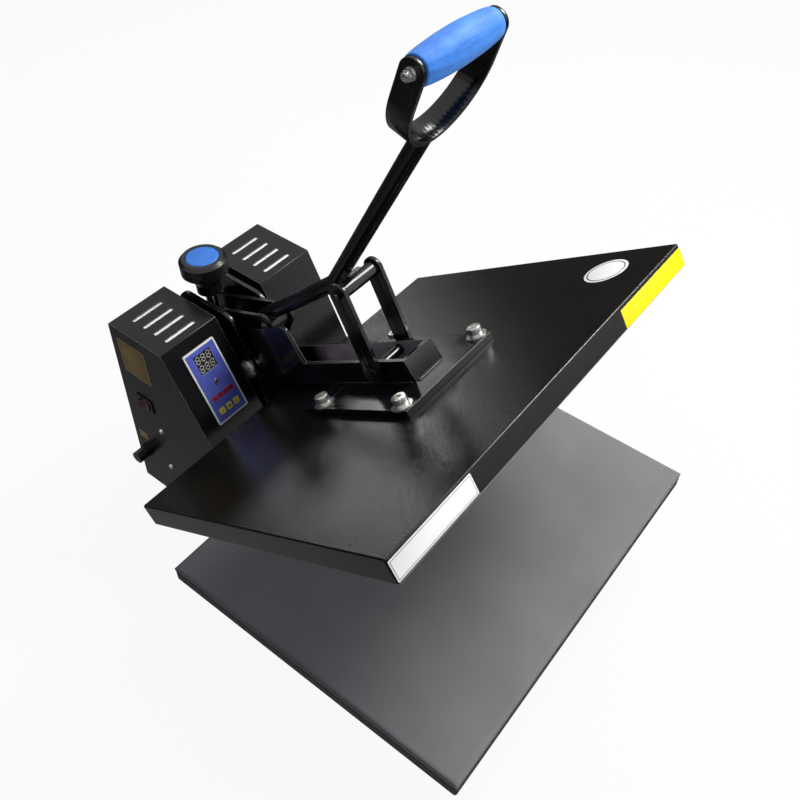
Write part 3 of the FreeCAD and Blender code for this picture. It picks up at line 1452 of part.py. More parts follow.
def make_side_fittings():
    outside = housing_inside + housing_width
    centre = (along(rocker_back), above(rocker_lift))
    half_y, half_z = rocker_length / 2, rocker_height / 2
    body = new_body("switch_body")
    sketch = new_sketch(body, "YZ_Plane", -outside)
    draw_polygon(sketch, rectangle(centre[0] - half_y, centre[0] + half_y,
                                   centre[1] - half_z, centre[1] + half_z))
    pad(body, sketch, rocker_flange, backwards=True)
    inner_y, inner_z = half_y - rocker_rim - flat_gap, half_z - rocker_rim - flat_gap
    sketch = new_sketch(body, "YZ_Plane", -outside)
    draw_polygon(sketch, rectangle(centre[0] - inner_y, centre[0] + inner_y,
                                   centre[1] - inner_z, centre[1] + inner_z))
    pad(body, sketch, rocker_depth)
    wall = switch_wall
    sketch = new_sketch(body, "YZ_Plane", -outside - rocker_flange)
    draw_polygon(sketch, rectangle(centre[0] - inner_y + wall, centre[0] + inner_y - wall,
                                   centre[1] - inner_z + wall, centre[1] + inner_z - wall))
    pocket(body, sketch, rocker_depth - switch_floor, backwards=True)

    rocker = new_body("rocker")
    reach_y, reach_z = inner_y - wall - flat_gap, inner_z - wall - flat_gap
    sketch = new_sketch(rocker, "XY_Plane", -reach_z)
    crest = rocker_flange + rocker_crest
    end, belly = reach_y - rocker_bevel, reach_y - rocker_taper
    draw_polygon(sketch, [(rocker_belly, -belly), (rocker_belly, belly), (-rocker_flange, end),
                          (-crest, end), (-rocker_flange, 0), (-crest, -end),
                          (-rocker_flange, -end)])
    pad(rocker, sketch, 2 * reach_z)
    place(rocker, (-outside, *centre), axis=(0, 0, 1), turn=rocker_tilt)

    for node, start, length, radius in (
            ("fuse_holder", -fuse_flange, fuse_flange + fuse_depth, fuse_radius),
            ("fuse_cap", -fuse_flange - flat_gap - fuse_cap_length, fuse_cap_length,
             fuse_cap_radius)):
        piece = new_body(node)
        sketch = new_sketch(piece, "YZ_Plane", start)
        draw_circle(sketch, (0, 0), radius)
        pad(piece, sketch, length)
        if node == "fuse_holder":
            sketch = new_sketch(piece, "YZ_Plane", -fuse_flange)
            draw_circle(sketch, (0, 0), fuse_flange_radius)
            pad(piece, sketch, fuse_flange)
        place(piece, (-outside, along(fuse_back), above(fuse_lift)))

    gland = new_body("cord_gland")
    revolve(gland, [(gland_bore, -gland_stem_length), (gland_stem_radius, -gland_stem_length),
                    (gland_stem_radius, 0), (gland_radius, 0),
                    (gland_radius - gland_taper, gland_length), (gland_bore, gland_length)])
    across, back, lift, lean = gland_place()
    place(gland, (across, back, lift), turn=lean)

    screw = new_body("screw", finished=False)
    revolve(screw, [(0, 0), (panel_screw_radius, 0),
                    (panel_screw_radius - panel_screw_edge, panel_screw_height),
                    (0, panel_screw_height)])
    rows = ((panel_screw_back, panel_screw_lift), (panel_screw_back, -panel_screw_drop))
    group("side_screws", [(screw, (side * outside, along(back), above(lift)), 90 * side)
                          for side in (-1, 1) for back, lift in rows], axis=(0, 1, 0))


def make_electronics():
    inner = housing_inside + housing_wall
    block("solid_state_relay", relay_depth, relay_width, relay_height,
          (inner + relay_depth / 2, along(relay_back), above(-electronics_drop)))
    block("terminal_block", terminal_depth, terminal_length, terminal_height,
          (-inner - terminal_depth / 2, along(terminal_back), above(-electronics_drop)))


for make in (make_base, make_lower_platen, make_column, make_pressure_arm, make_knob,
             make_lever, make_handle, make_upper_platen, make_platen_arm, make_links,
             make_housings, make_control_panel, make_side_fittings, make_electronics):
    make()
document.recompute()

for thing in document.Objects:
    if "Invalid" in thing.State or "Error" in thing.State:
        raise RuntimeError(f"{thing.Label} did not compute")
for node, thing in sub_parts.items():
    shape = thing.Shape
    if shape.isNull() or not shape.isValid() or not shape.Solids:
        raise RuntimeError(f"{node} has no valid solid")

os.makedirs("parts", exist_ok=True)
for node, thing in sub_parts.items():
    thing.Shape.exportStep(os.path.join("parts", f"{node}.step"))
print(len(sub_parts), "sub-parts")
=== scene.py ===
import math

import bmesh
import bpy
from mathutils import Matrix, Vector, noise


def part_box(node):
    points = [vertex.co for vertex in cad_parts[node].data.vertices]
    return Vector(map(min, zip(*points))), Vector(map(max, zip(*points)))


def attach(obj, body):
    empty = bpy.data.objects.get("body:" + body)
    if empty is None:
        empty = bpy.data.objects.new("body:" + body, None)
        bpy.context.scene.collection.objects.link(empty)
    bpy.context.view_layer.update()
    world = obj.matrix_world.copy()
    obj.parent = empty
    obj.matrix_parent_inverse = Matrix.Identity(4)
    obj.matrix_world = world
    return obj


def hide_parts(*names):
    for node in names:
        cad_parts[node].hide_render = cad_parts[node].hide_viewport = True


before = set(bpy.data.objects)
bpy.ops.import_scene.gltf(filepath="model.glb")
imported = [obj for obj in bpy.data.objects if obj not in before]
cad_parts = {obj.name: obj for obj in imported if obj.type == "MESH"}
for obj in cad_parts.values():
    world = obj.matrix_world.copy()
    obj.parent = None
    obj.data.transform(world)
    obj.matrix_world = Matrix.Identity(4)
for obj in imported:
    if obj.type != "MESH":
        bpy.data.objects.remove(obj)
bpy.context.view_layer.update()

MM = 0.001

# Places of the CAD source, in millimetres and degrees.
PLATEN_SETBACK = 115
PRESS_HEIGHT = 142
HINGE_BACK = 335.8
HINGE_LIFT = 21.5
OPEN_ANGLE = 33.34
COVER_TOP = 27.4
PLATEN_HALF_WIDTH = 250
PLATEN_HALF_DEPTH = 202
HOUSING_TOP = 179
HOUSING_OUTSIDE = 126.4
HOUSING_MIDDLE = 82.6
PANEL_CENTRE = 79.5
HANDLE_LEAN = 17.56
# Centres of the labels: (across, lift) on the platen's front, (forward, lift) on the left flank.
STRIP_WHITE = (-194.4, 14.0)
STRIP_YELLOW = (184.0, 12.6)
FLANK_LABEL = (-373.5, 134.5)
FLANK_STRIP = (-401, -20)
# On the slope: the distance between keys and between lamps, and where their rows begin and end.
KEY_PITCH, KEY_ROW = 11.5, (-105.9, -97.1)
LAMP_PITCH, LAMP_ROW = 8.6, (-86.1, -79.9)
# Rounded edges start where two faces meet at more than this, in degrees.
EDGE_ANGLE = 38


# Frames: each turns millimetres of the source into the row frame.
def row(back, lift, across=0):
    """A point given behind the middle of the platens and above the pad."""
    return Vector((across, back - PLATEN_SETBACK, lift + PRESS_HEIGHT)) * MM


def turned(origin, degrees, axis="X"):
    return Matrix.Translation(origin) @ Matrix.Rotation(math.radians(degrees), 4, axis)


PLATEN_FRAME = (turned(row(HINGE_BACK, HINGE_LIFT), -OPEN_ANGLE)
                @ Matrix.Translation(Vector((0, -HINGE_BACK, -HINGE_LIFT)) * MM))
SLOPE_FRAME = turned(row(316.5, HOUSING_TOP, -PANEL_CENTRE), 62)
# On the left flank: local X runs forward, local Y up, local Z out.
FLANK_FRAME = (Matrix.Translation(row(0, 0, -HOUSING_OUTSIDE))
               @ Matrix(((0, 0, -1, 0), (-1, 0, 0, 0), (0, 1, 0, 0), (0, 0, 0, 1))))


# Colours, written as they look on a screen.
def colour(red, green, blue):
    def linear(value):
        value = value / 255
        return value / 12.92 if value <= 0.04045 else ((value + 0.055) / 1.055) ** 2.4
    return (linear(red), linear(green), linear(blue), 1)


# Materials.
class Look:
    """A material made from nodes, with its main shader: a new one, or one made before."""

    def __init__(self, name=None, material=None):
        self.material = material or bpy.data.materials.new(name)
        self.material.use_nodes = True
        self.tree = self.material.node_tree
        self.shader = self.tree.nodes["Principled BSDF"]
        self.coords = self.add("ShaderNodeTexCoord").outputs["Object"]

    def add(self, kind, inputs=None, **settings):
        node = self.tree.nodes.new(kind)
        for key, value in settings.items():
            setattr(node, key, value)
        for key, value in (inputs or {}).items():
            self.feed(node.inputs[key], value)
        return node

    def feed(self, socket, value):
        if isinstance(value, bpy.types.NodeSocket):
            self.tree.links.new(value, socket)
        else:
            socket.default_value = value

    def noise(self, scale, detail=3, roughness=0.5, vector=None):
        node = self.add("ShaderNodeTexNoise", {"Vector": vector or self.coords, "Scale": scale,
                                               "Detail": detail, "Roughness": roughness})
        return node.outputs["Fac"]

    def stretched(self, scale):
        """Coordinates scaled along each axis, for grain that runs one way."""
        return self.add("ShaderNodeMapping", {"Vector": self.coords, "Scale": scale}).outputs[0]

    def ranged(self, value, low, high, new_low, new_high):
        node = self.add("ShaderNodeMapRange", {"Value": value, "From Min": low, "From Max": high,
                                               "To Min": new_low, "To Max": new_high})
        return node.outputs[0]

    def mixed(self, factor, first, second):
        node = self.add("ShaderNodeMix", data_type="RGBA")
        for index, value in ((0, factor), (6, first), (7, second)):
            self.feed(node.inputs[index], value)
        return node.outputs[2]

    def math(self, operation, first, second):
        node = self.add("ShaderNodeMath", {0: first, 1: second}, operation=operation)
        return node.outputs[0]

    def bump(self, height, strength, distance, normal=None):
        inputs = {"Height": height, "Strength": strength, "Distance": distance}
        if normal:
            inputs["Normal"] = normal
        return self.add("ShaderNodeBump", inputs).outputs[0]

    def edges(self, radius):
        """Near 1 along sharp edges, 0 on faces."""
        bevel = self.add("ShaderNodeBevel", {"Radius": radius}, samples=4)
        plain = self.add("ShaderNodeNewGeometry").outputs["Normal"]
        both = self.add("ShaderNodeVectorMath", {0: bevel.outputs[0], 1: plain},
                        operation="DOT_PRODUCT")
        return self.ranged(both.outputs["Value"], 0.995, 0.86, 0, 1)

    def set(self, **values):
        for key, value in values.items():
            self.feed(self.shader.inputs[key.replace("_", " ")], value)
        return self


def make_paint(name, dark, light, rough, grain, depth, wave=0.0, edge_highlight=0.25, specular=0.5,
               relief=0.0002, rim=0.0):
    """Black paint: clouded tone, grain or orange peel, and a painted highlight along the edges,
    broken up by noise.
    """
    look = Look(name)
    clouds = look.noise(14, 5, 0.6)
    tone = look.mixed(look.ranged(clouds, 0.35, 0.65, 0, 1), dark, light)
    # Painted highlight: a light grey mixed in along the edges and broken up by noise. rim is its
    # least amount on every edge.
    if edge_highlight:
        painted_edge_light = look.math("MULTIPLY", look.edges(0.0008), look.ranged(
            look.noise(160, 4, 0.65), 0.38, 0.6, rim, edge_highlight))
        tone = look.mixed(painted_edge_light, tone, colour(158, 156, 152))
    fine = look.noise(grain, 2, 0.6)
    normal = look.bump(look.noise(90, 2), wave, 0.0006) if wave else None
    normal = look.bump(fine, depth, relief, normal)
    roughness = look.ranged(look.noise(45, 4, 0.6), 0.3, 0.7, *rough)
    return look.set(Base_Color=tone, Roughness=roughness, Normal=normal,
                    Specular_IOR_Level=specular).material


def make_arm_paint():
    """Gloss paint outside, and painted light in grey between the channel's walls that fades towards
    the back.
    """
    material = make_paint("paint_arm", colour(12, 12, 14), colour(18, 18, 20), (0.12, 0.24), 700,
                          0.06, wave=0.08, edge_highlight=0.6, rim=0.1)
    look = Look(material=material)
    # Half the channel's inner width, its front end behind the middle of the platen, and how far
    # # behind that end the painted light starts and has ended fading, in metres.
    inside, front, fade_start, fade_end = 0.0182, -0.0325, 0.17, 0.2
    split = look.add("ShaderNodeSeparateXYZ", {0: look.coords})
    across = look.math("ABSOLUTE", split.outputs["X"], 0.0)
    backward = PLATEN_FRAME.col[1].xyz
    back = look.add("ShaderNodeVectorMath", {0: look.coords, 1: backward},
                    operation="DOT_PRODUCT").outputs["Value"]
    front += PLATEN_FRAME.translation.dot(backward)
    between = look.math("MULTIPLY", look.ranged(across, inside, inside + 0.0002, 1, 0),
                        look.ranged(back, front, front + 0.0004, 0, 1))
    between = look.math("MULTIPLY", between,
                        look.ranged(back, front + fade_start, front + fade_end, 1, 0))
    # Painted light: a light grey on the channel's inner faces, where light falls inside it.
    film = look.mixed(look.ranged(look.noise(70, 5, 0.6), 0.3, 0.7, 0, 1), colour(138, 133, 138),
                      colour(162, 156, 162))
    paint = look.shader.inputs["Base Color"].links[0].from_socket
    return look.set(Base_Color=look.mixed(between, paint, film)).material


def make_metal(name, tone, shade, rough, stretch=(1, 1, 1), grain=700, depth=0.08, bare=1.0):
    """Bare or plated metal with fine marks that run along its working direction."""
    look = Look(name)
    marks = look.noise(grain, 4, 0.65, look.stretched(stretch))
    blotches = look.noise(60, 4, 0.6)
    tint = look.mixed(look.ranged(blotches, 0.35, 0.68, 0, 1), tone, shade)
    roughness = look.ranged(marks, 0.3, 0.7, *rough)
    return look.set(Base_Color=tint, Metallic=bare, Roughness=roughness,
                    Normal=look.bump(marks, depth, 0.0001)).material


def make_plastic(name, tone, shade, rough, grain=1100, depth=0.06, cloud=40, specular=0.5, **more):
    """Moulded plastic, rubber, board or film: slight clouds and a fine skin texture."""
    look = Look(name)
    clouds = look.noise(cloud, 4, 0.55)
    tint = look.mixed(look.ranged(clouds, 0.35, 0.65, 0, 1), tone, shade)
    skin = look.noise(grain, 3, 0.6)
    roughness = look.ranged(look.noise(cloud * 3, 3), 0.3, 0.7, *rough)
    return look.set(Base_Color=tint, Roughness=roughness, Specular_IOR_Level=specular,
                    Normal=look.bump(skin, depth, 0.00015), **more).material


def make_foam():
    """Closed-cell foam: fine pores and creases along the grip, both darkened with painted shade,
    and a soft sheen.
    """
    look = Look("foam_blue")
    pores = look.add("ShaderNodeTexVoronoi", {"Vector": look.coords, "Scale": 900.0},
                     feature="F1").outputs["Distance"]
    clouds = look.noise(55, 5, 0.6)
    tone = look.mixed(look.ranged(clouds, 0.35, 0.65, 0, 1), colour(58, 140, 236),
                      colour(46, 124, 224))
    # Painted shade in the pores.
    tone = look.mixed(look.ranged(pores, 0.0, 0.3, 0.25, 0), tone, colour(34, 88, 172))
    creases = look.noise(1, 4, 0.6, look.stretched((260, 260, 16)))
    # Painted shade along the creases.
    tone = look.mixed(look.ranged(creases, 0.5, 0.72, 0, 0.55), tone, colour(26, 84, 170))
    normal = look.bump(look.noise(120, 3), 0.25, 0.0006)
    normal = look.bump(creases, 0.5, 0.0008, normal)
    normal = look.bump(pores, 0.3, 0.0002, normal)
    return look.set(Base_Color=tone, Roughness=look.ranged(clouds, 0.3, 0.7, 0.55, 0.7),
                    Normal=normal, Sheen_Weight=0.15).material


def make_silicone():
    """Foamed silicone sheet: fine fabric print, faint press marks, matte."""
    look = Look("silicone_sheet")
    clouds = look.noise(9, 5, 0.55)
    tone = look.mixed(look.ranged(clouds, 0.35, 0.65, 0, 1), colour(122, 123, 124),
                      colour(115, 116, 118))
    weave_x = look.add("ShaderNodeTexWave", {"Vector": look.coords, "Scale": 260.0},
                       bands_direction="X").outputs["Fac"]
    weave_y = look.add("ShaderNodeTexWave", {"Vector": look.coords, "Scale": 260.0},
                       bands_direction="Y").outputs["Fac"]
    weave = look.math("MULTIPLY", weave_x, weave_y)
    normal = look.bump(look.noise(26, 3), 0.12, 0.0012)
    normal = look.bump(look.noise(1300, 2), 0.1, 0.0002, normal)
    normal = look.bump(weave, 0.06, 0.0001, normal)
    return look.set(Base_Color=tone, Roughness=look.ranged(clouds, 0.3, 0.7, 0.62, 0.75),
                    Normal=normal, Specular_IOR_Level=0.35).material


LOOKS = {
    "black_paint": make_paint("paint_gloss", colour(12, 12, 14), colour(18, 18, 20),
                              (0.12, 0.24), 700, 0.06, wave=0.08, edge_highlight=0.55, rim=0.08),
    "black_coat": make_paint("paint_powder", colour(20, 20, 22), colour(26, 26, 28),
                             (0.2, 0.28), 700, 0.3, wave=0.05, edge_highlight=0.9, specular=0.28,
                             relief=0.0004, rim=0.4),
    "platen_metal": make_paint("platen_coat", colour(26, 26, 27), colour(34, 34, 35),
                               (0.4, 0.5), 900, 0.15, edge_highlight=0.7),
    "heating_aluminium": make_metal("aluminium", colour(196, 198, 200), colour(176, 178, 181),
                                    (0.32, 0.5), (1, 14, 1)),
    "steel": make_metal("steel_plain", colour(150, 150, 152), colour(118, 118, 121),
                        (0.28, 0.45), (1, 8, 8)),
    "zinc_steel": make_metal("zinc_plate", colour(232, 231, 227), colour(206, 205, 201),
                             (0.16, 0.3), bare=0.8),
    "screw_chrome": make_metal("screw_chrome", colour(226, 228, 230), colour(205, 207, 210),
                               (0.08, 0.18), (1, 1, 40)),
    "brass": make_metal("brass", colour(214, 178, 98), colour(190, 152, 80), (0.2, 0.35)),
    "rubber": make_plastic("rubber", colour(24, 24, 25), colour(32, 32, 33), (0.6, 0.8), 900, 0.2),
    "silicone": make_silicone(),
    "insulation": make_plastic("insulation", colour(206, 196, 168), colour(184, 172, 142),
                               (0.8, 0.95), 500, 0.5),
    "black_plastic": make_plastic("plastic_black", colour(17, 17, 18), colour(24, 24, 26),
                                  (0.22, 0.36), 800, 0.05),
    "blue_plastic": make_plastic("plastic_blue", colour(42, 108, 200), colour(50, 120, 212),
                                 (0.28, 0.4), 900, 0.06),
    "blue_foam": make_foam(),
    "red_plastic": make_plastic("plastic_red", colour(120, 20, 22), colour(96, 14, 18),
                                (0.25, 0.35), 900, 0.05),
    "panel_plastic": make_plastic("plastic_white", colour(248, 248, 246), colour(240, 240, 238),
                                  (0.35, 0.5)),
    "display_glass": make_plastic("display_glass", colour(40, 42, 46), colour(48, 50, 54),
                                  (0.06, 0.12), 300, 0.01, Coat_Weight=1.0),
    "lamp_plastic": make_plastic("plastic_lamp", colour(176, 24, 28), colour(150, 16, 22),
                                 (0.15, 0.3), 600, 0.04),
    "board_plastic": make_plastic("board_green", colour(24, 84, 52), colour(18, 70, 44),
                                  (0.4, 0.55), 500, 0.1),
    "key_plastic": make_plastic("plastic_yellow", colour(236, 214, 96), colour(226, 202, 82),
                                (0.35, 0.5)),
}
EXTRA = {
    "cover": make_paint("paint_orange_peel", colour(17, 15, 13), colour(23, 21, 18),
                        (0.1, 0.15), 700, 0.5, wave=0.03, edge_highlight=0.9, relief=0.0005,
                        rim=0.35),
    "film": make_plastic("film_violet", colour(92, 104, 196), colour(80, 92, 184),
                         (0.3, 0.42), 700, 0.06, 60),
    "label_white": make_plastic("label_white", colour(250, 250, 249), colour(243, 243, 242),
                                (0.3, 0.42), 500, 0.04, 20),
    "label_yellow": make_plastic("label_yellow", colour(252, 240, 20), colour(244, 228, 16),
                                 (0.3, 0.42), 500, 0.04, 20),
    "label_gold": make_plastic("label_gold", colour(166, 130, 62), colour(140, 106, 46),
                               (0.35, 0.5), 500, 0.08, 60),
    "label_line": make_plastic("label_line", colour(206, 178, 116), colour(186, 158, 98),
                               (0.35, 0.5)),
    # Weld beads: dark paint clouded with light grey, which is a painted highlight on the beads.
    "weld": make_paint("weld_painted_highlight", colour(44, 44, 46), colour(140, 138, 134), (0.1, 0.2), 500,
                       0.3, wave=0.4, edge_highlight=0.9),
    "ink": make_plastic("ink_black", colour(22, 22, 24), colour(30, 30, 32), (0.4, 0.6)),
    "segment": make_plastic("segment_grey", colour(186, 182, 172), colour(170, 170, 160),
                            (0.3, 0.4)),
    # White sheets under the vents: painted light seen through the vents.
    "vent_light_sheet": make_plastic("vent_light_white", colour(244, 244, 242), colour(236, 236, 234),
                          (0.6, 0.75), 400, 0.1, 30),
}
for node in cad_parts.values():
    for slot in node.material_slots:
        if slot.material.name in LOOKS:
            slot.material = LOOKS[slot.material.name]
# Nodes whose look in the photograph isn't their slot's.
for name, look in (("platen_cover", EXTRA["cover"]), ("platen_arm", make_arm_paint()),
                   ("link_pin", LOOKS["black_paint"]), ("link_studs", LOOKS["black_paint"])):
    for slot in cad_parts[name].material_slots:
        slot.material = look


# Rounded edges on the CAD nodes, so that they catch the light.
def soften(names, width, segments=2):
    for name in names:
        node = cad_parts[name]
        weld = node.modifiers.new("Weld", "WELD")
        weld.merge_threshold = 1e-6
        bevel = node.modifiers.new("Edges", "BEVEL")
        bevel.width = width * MM
        bevel.segments = segments
        bevel.limit_method = "ANGLE"
        bevel.angle_limit = math.radians(EDGE_ANGLE)
        bevel.use_clamp_overlap = True
        bevel.harden_normals = True


soften(["housing_left", "housing_right"], 0.9, 3)
soften(["bolt_plate", "link_left", "link_right", "pressure_arm"], 0.6)
soften(["platen_arm", "column_plate_left", "column_plate_right"], 0.5)
soften(["handle_strap", "lower_platen", "base_plates", "base_rails"], 0.5)
soften(["control_panel", "key_left", "key_middle", "key_right", "indicator_lamps"], 0.25)
soften(["switch_body", "rocker", "tilt_nuts", "plate_bolts"], 0.3)
soften(["platen_cover"], 0.5)


# Pieces.
def piece(name, mesh, body, material, matrix=None, smooth=True):
    """Puts a bmesh in the scene as a piece that rides on a body."""
    data = bpy.data.meshes.new(name)
    bmesh.ops.recalc_face_normals(mesh, faces=mesh.faces)
    mesh.to_mesh(data)
    mesh.free()
    for polygon in data.polygons:
        polygon.use_smooth = smooth
    thing = bpy.data.objects.new(name, data)
    bpy.context.scene.collection.objects.link(thing)
    data.materials.append(material)
    thing.matrix_world = matrix or Matrix.Identity(4)
    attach(thing, body)
    return thing


def rounded_outline(half_x, half_y, radius, steps=5):
    points = []
    for corner, (sx, sy) in enumerate(((1, 1), (-1, 1), (-1, -1), (1, -1))):
        for step in range(steps + 1):
            angle = math.pi / 2 * (corner + step / steps)
            points.append((sx * (half_x - radius) + radius * math.cos(angle),
                           sy * (half_y - radius) + radius * math.sin(angle)))
    return points


def slab(outline, low, high, edge=0.0, steps=3, centre=(0, 0)):
    """A plate from an outline in millimetres, with rounded top edges."""
    mesh = bmesh.new()
    rings = [(0, low)]
    if edge:
        for step in range(steps + 1):
            angle = math.pi / 2 * step / steps
            rings.append((edge * (1 - math.cos(angle)), high - edge * (1 - math.sin(angle))))
    else:
        rings.append((0, high))
    count = len(outline)
    levels = []
    for inset, height in rings:
        level = []
        for index, (x, y) in enumerate(outline):
            before, after = outline[index - 1], outline[(index + 1) % count]
            along = Vector((after[0] - before[0], after[1] - before[1])).normalized()
            level.append(mesh.verts.new(Vector((centre[0] + x - along.y * inset,
                                                centre[1] + y + along.x * inset, height)) * MM))
        levels.append(level)
    for lower, upper in zip(levels, levels[1:]):
        for index in range(count):
            after = (index + 1) % count
            mesh.faces.new((lower[index], lower[after], upper[after], upper[index]))
    mesh.faces.new(levels[-1])
    mesh.faces.new(levels[0][::-1])
    return mesh


def lathe(profile, segments=48):
    """A body of revolution about local Z, from (radius, height) in millimetres."""
    mesh = bmesh.new()
    rings = []
    for radius, height in profile:
        if radius < 1e-6:
            rings.append([mesh.verts.new((0, 0, height * MM))])
            continue
        rings.append([mesh.verts.new((radius * math.cos(2 * math.pi * step / segments) * MM,
                                      radius * math.sin(2 * math.pi * step / segments) * MM,
                                      height * MM)) for step in range(segments)])
    for lower, upper in zip(rings, rings[1:]):
        for step in range(segments):
            after = (step + 1) % segments
            if len(lower) == 1:
                mesh.faces.new((lower[0], upper[after], upper[step]))
            elif len(upper) == 1:
                mesh.faces.new((lower[step], lower[after], upper[0]))
            else:
                mesh.faces.new((lower[step], lower[after], upper[after], upper[step]))
    return mesh


def bead(points, radius, ripple=0.18, pitch=2.6, seed=0):
    """A weld bead along points in millimetres: overlapping ripples of uneven size."""
    mesh = bmesh.new()
    spans = [(b - a).length for a, b in zip(points, points[1:])]
    total = sum(spans)
    count = max(8, int(total / (pitch / 4)))
    path = []
    for step in range(count + 1):
        left = total * step / count
        for index, span in enumerate(spans):
            if left <= span or index == len(spans) - 1:
                path.append(points[index].lerp(points[index + 1], min(1, left / span)))
                break
            left -= span
    sides = 10
    rings = []
    for index, point in enumerate(path):
        run = (path[min(index + 1, count)] - path[max(index - 1, 0)]).normalized()
        across = run.orthogonal().normalized() if not rings else (
            previous - run * previous.dot(run)).normalized()
        previous = across
        up = run.cross(across)
        phase = (index / count * total / pitch) % 1
        size = radius * (1 + ripple * (1 - phase) - ripple / 2
                         + 0.12 * noise.noise(Vector((index * 0.21, seed, 0))))
        ends = min(index, count - index) / 4
        size *= math.sqrt(min(1, max(0.02, ends)))
        rings.append([mesh.verts.new((point + (across * math.cos(2 * math.pi * side / sides)
                                               + up * math.sin(2 * math.pi * side / sides))
                                      * size) * MM) for side in range(sides)])
    for lower, upper in zip(rings, rings[1:]):
        for side in range(sides):
            after = (side + 1) % sides
            mesh.faces.new((lower[side], lower[after], upper[after], upper[side]))
    mesh.faces.new(rings[0][::-1])
    mesh.faces.new(rings[-1])
    return mesh


def merged(meshes):
    """One bmesh from several."""
    whole = bmesh.new()
    for mesh in meshes:
        data = bpy.data.meshes.new("part")
        mesh.to_mesh(data)
        mesh.free()
        whole.from_mesh(data)
        bpy.data.meshes.remove(data)
    return whole


# The pad on the lower platen: a soft sheet with rolled edges, not quite flat.
def make_pad():
    half_x, half_y, thick = PLATEN_HALF_WIDTH - 0.3, PLATEN_HALF_DEPTH - 0.3, 8
    columns, rows, roll = 100, 80, 2.2
    mesh = bmesh.new()

    def spread(step, steps, half):
        """Places across the sheet, closer together near its edges."""
        share = step / steps * 2 - 1
        return half * math.sin(share * math.pi / 2) * 0.35 + half * share * 0.65

    grid = []
    for j in range(rows + 1):
        line = []
        for i in range(columns + 1):
            x, y = spread(i, columns, half_x), spread(j, rows, half_y)
            rim = min(half_x - abs(x), half_y - abs(y))
            fall = max(0.0, 1 - rim / roll)
            drop = roll * (1 - math.sqrt(max(0.0, 1 - fall * fall)))
            wave = 0.18 * noise.noise(Vector((x * 0.012, y * 0.012, 1.7)))
            height = thick - 0.2 - 0.8 * drop + wave * min(1, rim / 20)
            line.append(mesh.verts.new(Vector((x, y, height)) * MM))
        grid.append(line)
    for lower, upper in zip(grid, grid[1:]):
        for i in range(columns):
            mesh.faces.new((lower[i], lower[i + 1], upper[i + 1], upper[i]))
    rim = (grid[0] + [line[-1] for line in grid[1:]] + grid[-1][-2::-1]
           + [line[0] for line in grid[-2:0:-1]])
    levels = [rim]
    for inset, height in ((0.0, 4.5), (0.0, 2.0), (0.6, 0.4), (1.4, 0.0)):
        level = []
        for vertex in rim:
            x, y = vertex.co.x / MM, vertex.co.y / MM
            level.append(mesh.verts.new(Vector((
                math.copysign(min(abs(x), half_x - inset), x),
                math.copysign(min(abs(y), half_y - inset), y), height)) * MM))
        levels.append(level)
    for upper, lower in zip(levels, levels[1:]):
        for index in range(len(rim)):
            after = (index + 1) % len(rim)
            mesh.faces.new((lower[index], lower[after], upper[after], upper[index]))
    mesh.faces.new(levels[-1])
    pad = piece("pad_sheet", mesh, "base", LOOKS["silicone"],
                Matrix.Translation(row(0, -thick)))
    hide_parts("silicone_pad")


# The foam grip on the handle.
def make_grip():
    half, waist, belly, bore, roll = 50.7, 12.8, 15.8, 4.4, 2.6
    profile = [(bore, -half)]
    for step in range(7):
        angle = math.pi / 2 * step / 6
        profile.append((waist - roll + roll * math.sin(angle),
                        -half + roll * (1 - math.cos(angle))))
    for step in range(1, 40):
        share = step / 40
        x = -half + roll + (2 * half - 2 * roll) * share
        profile.append((waist + (belly - waist) * math.sin(math.pi * share) ** 0.7, x))
    for step in range(6, -1, -1):
        angle = math.pi / 2 * step / 6
        profile.append((waist - roll + roll * math.sin(angle), half - roll * (1 - math.cos(angle))))
    profile.append((bore, half))
    profile.append((bore, -half))
    mesh = lathe(profile, 72)
    for vertex in mesh.verts:
        radius = math.hypot(vertex.co.x, vertex.co.y)
        if radius > 0.009:
            swell = 1 + 0.012 * noise.noise(vertex.co * 55)
            vertex.co.x *= swell
            vertex.co.y *= swell
    bmesh.ops.remove_doubles(mesh, verts=mesh.verts, dist=1e-6)
    low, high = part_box("grip_bolt")
    place = turned((low + high) / 2, HANDLE_LEAN) @ Matrix.Rotation(math.pi / 2, 4, "Y")
    grip = piece("grip_foam", mesh, "lever", LOOKS["blue_foam"], place)
    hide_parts("handle_grip")


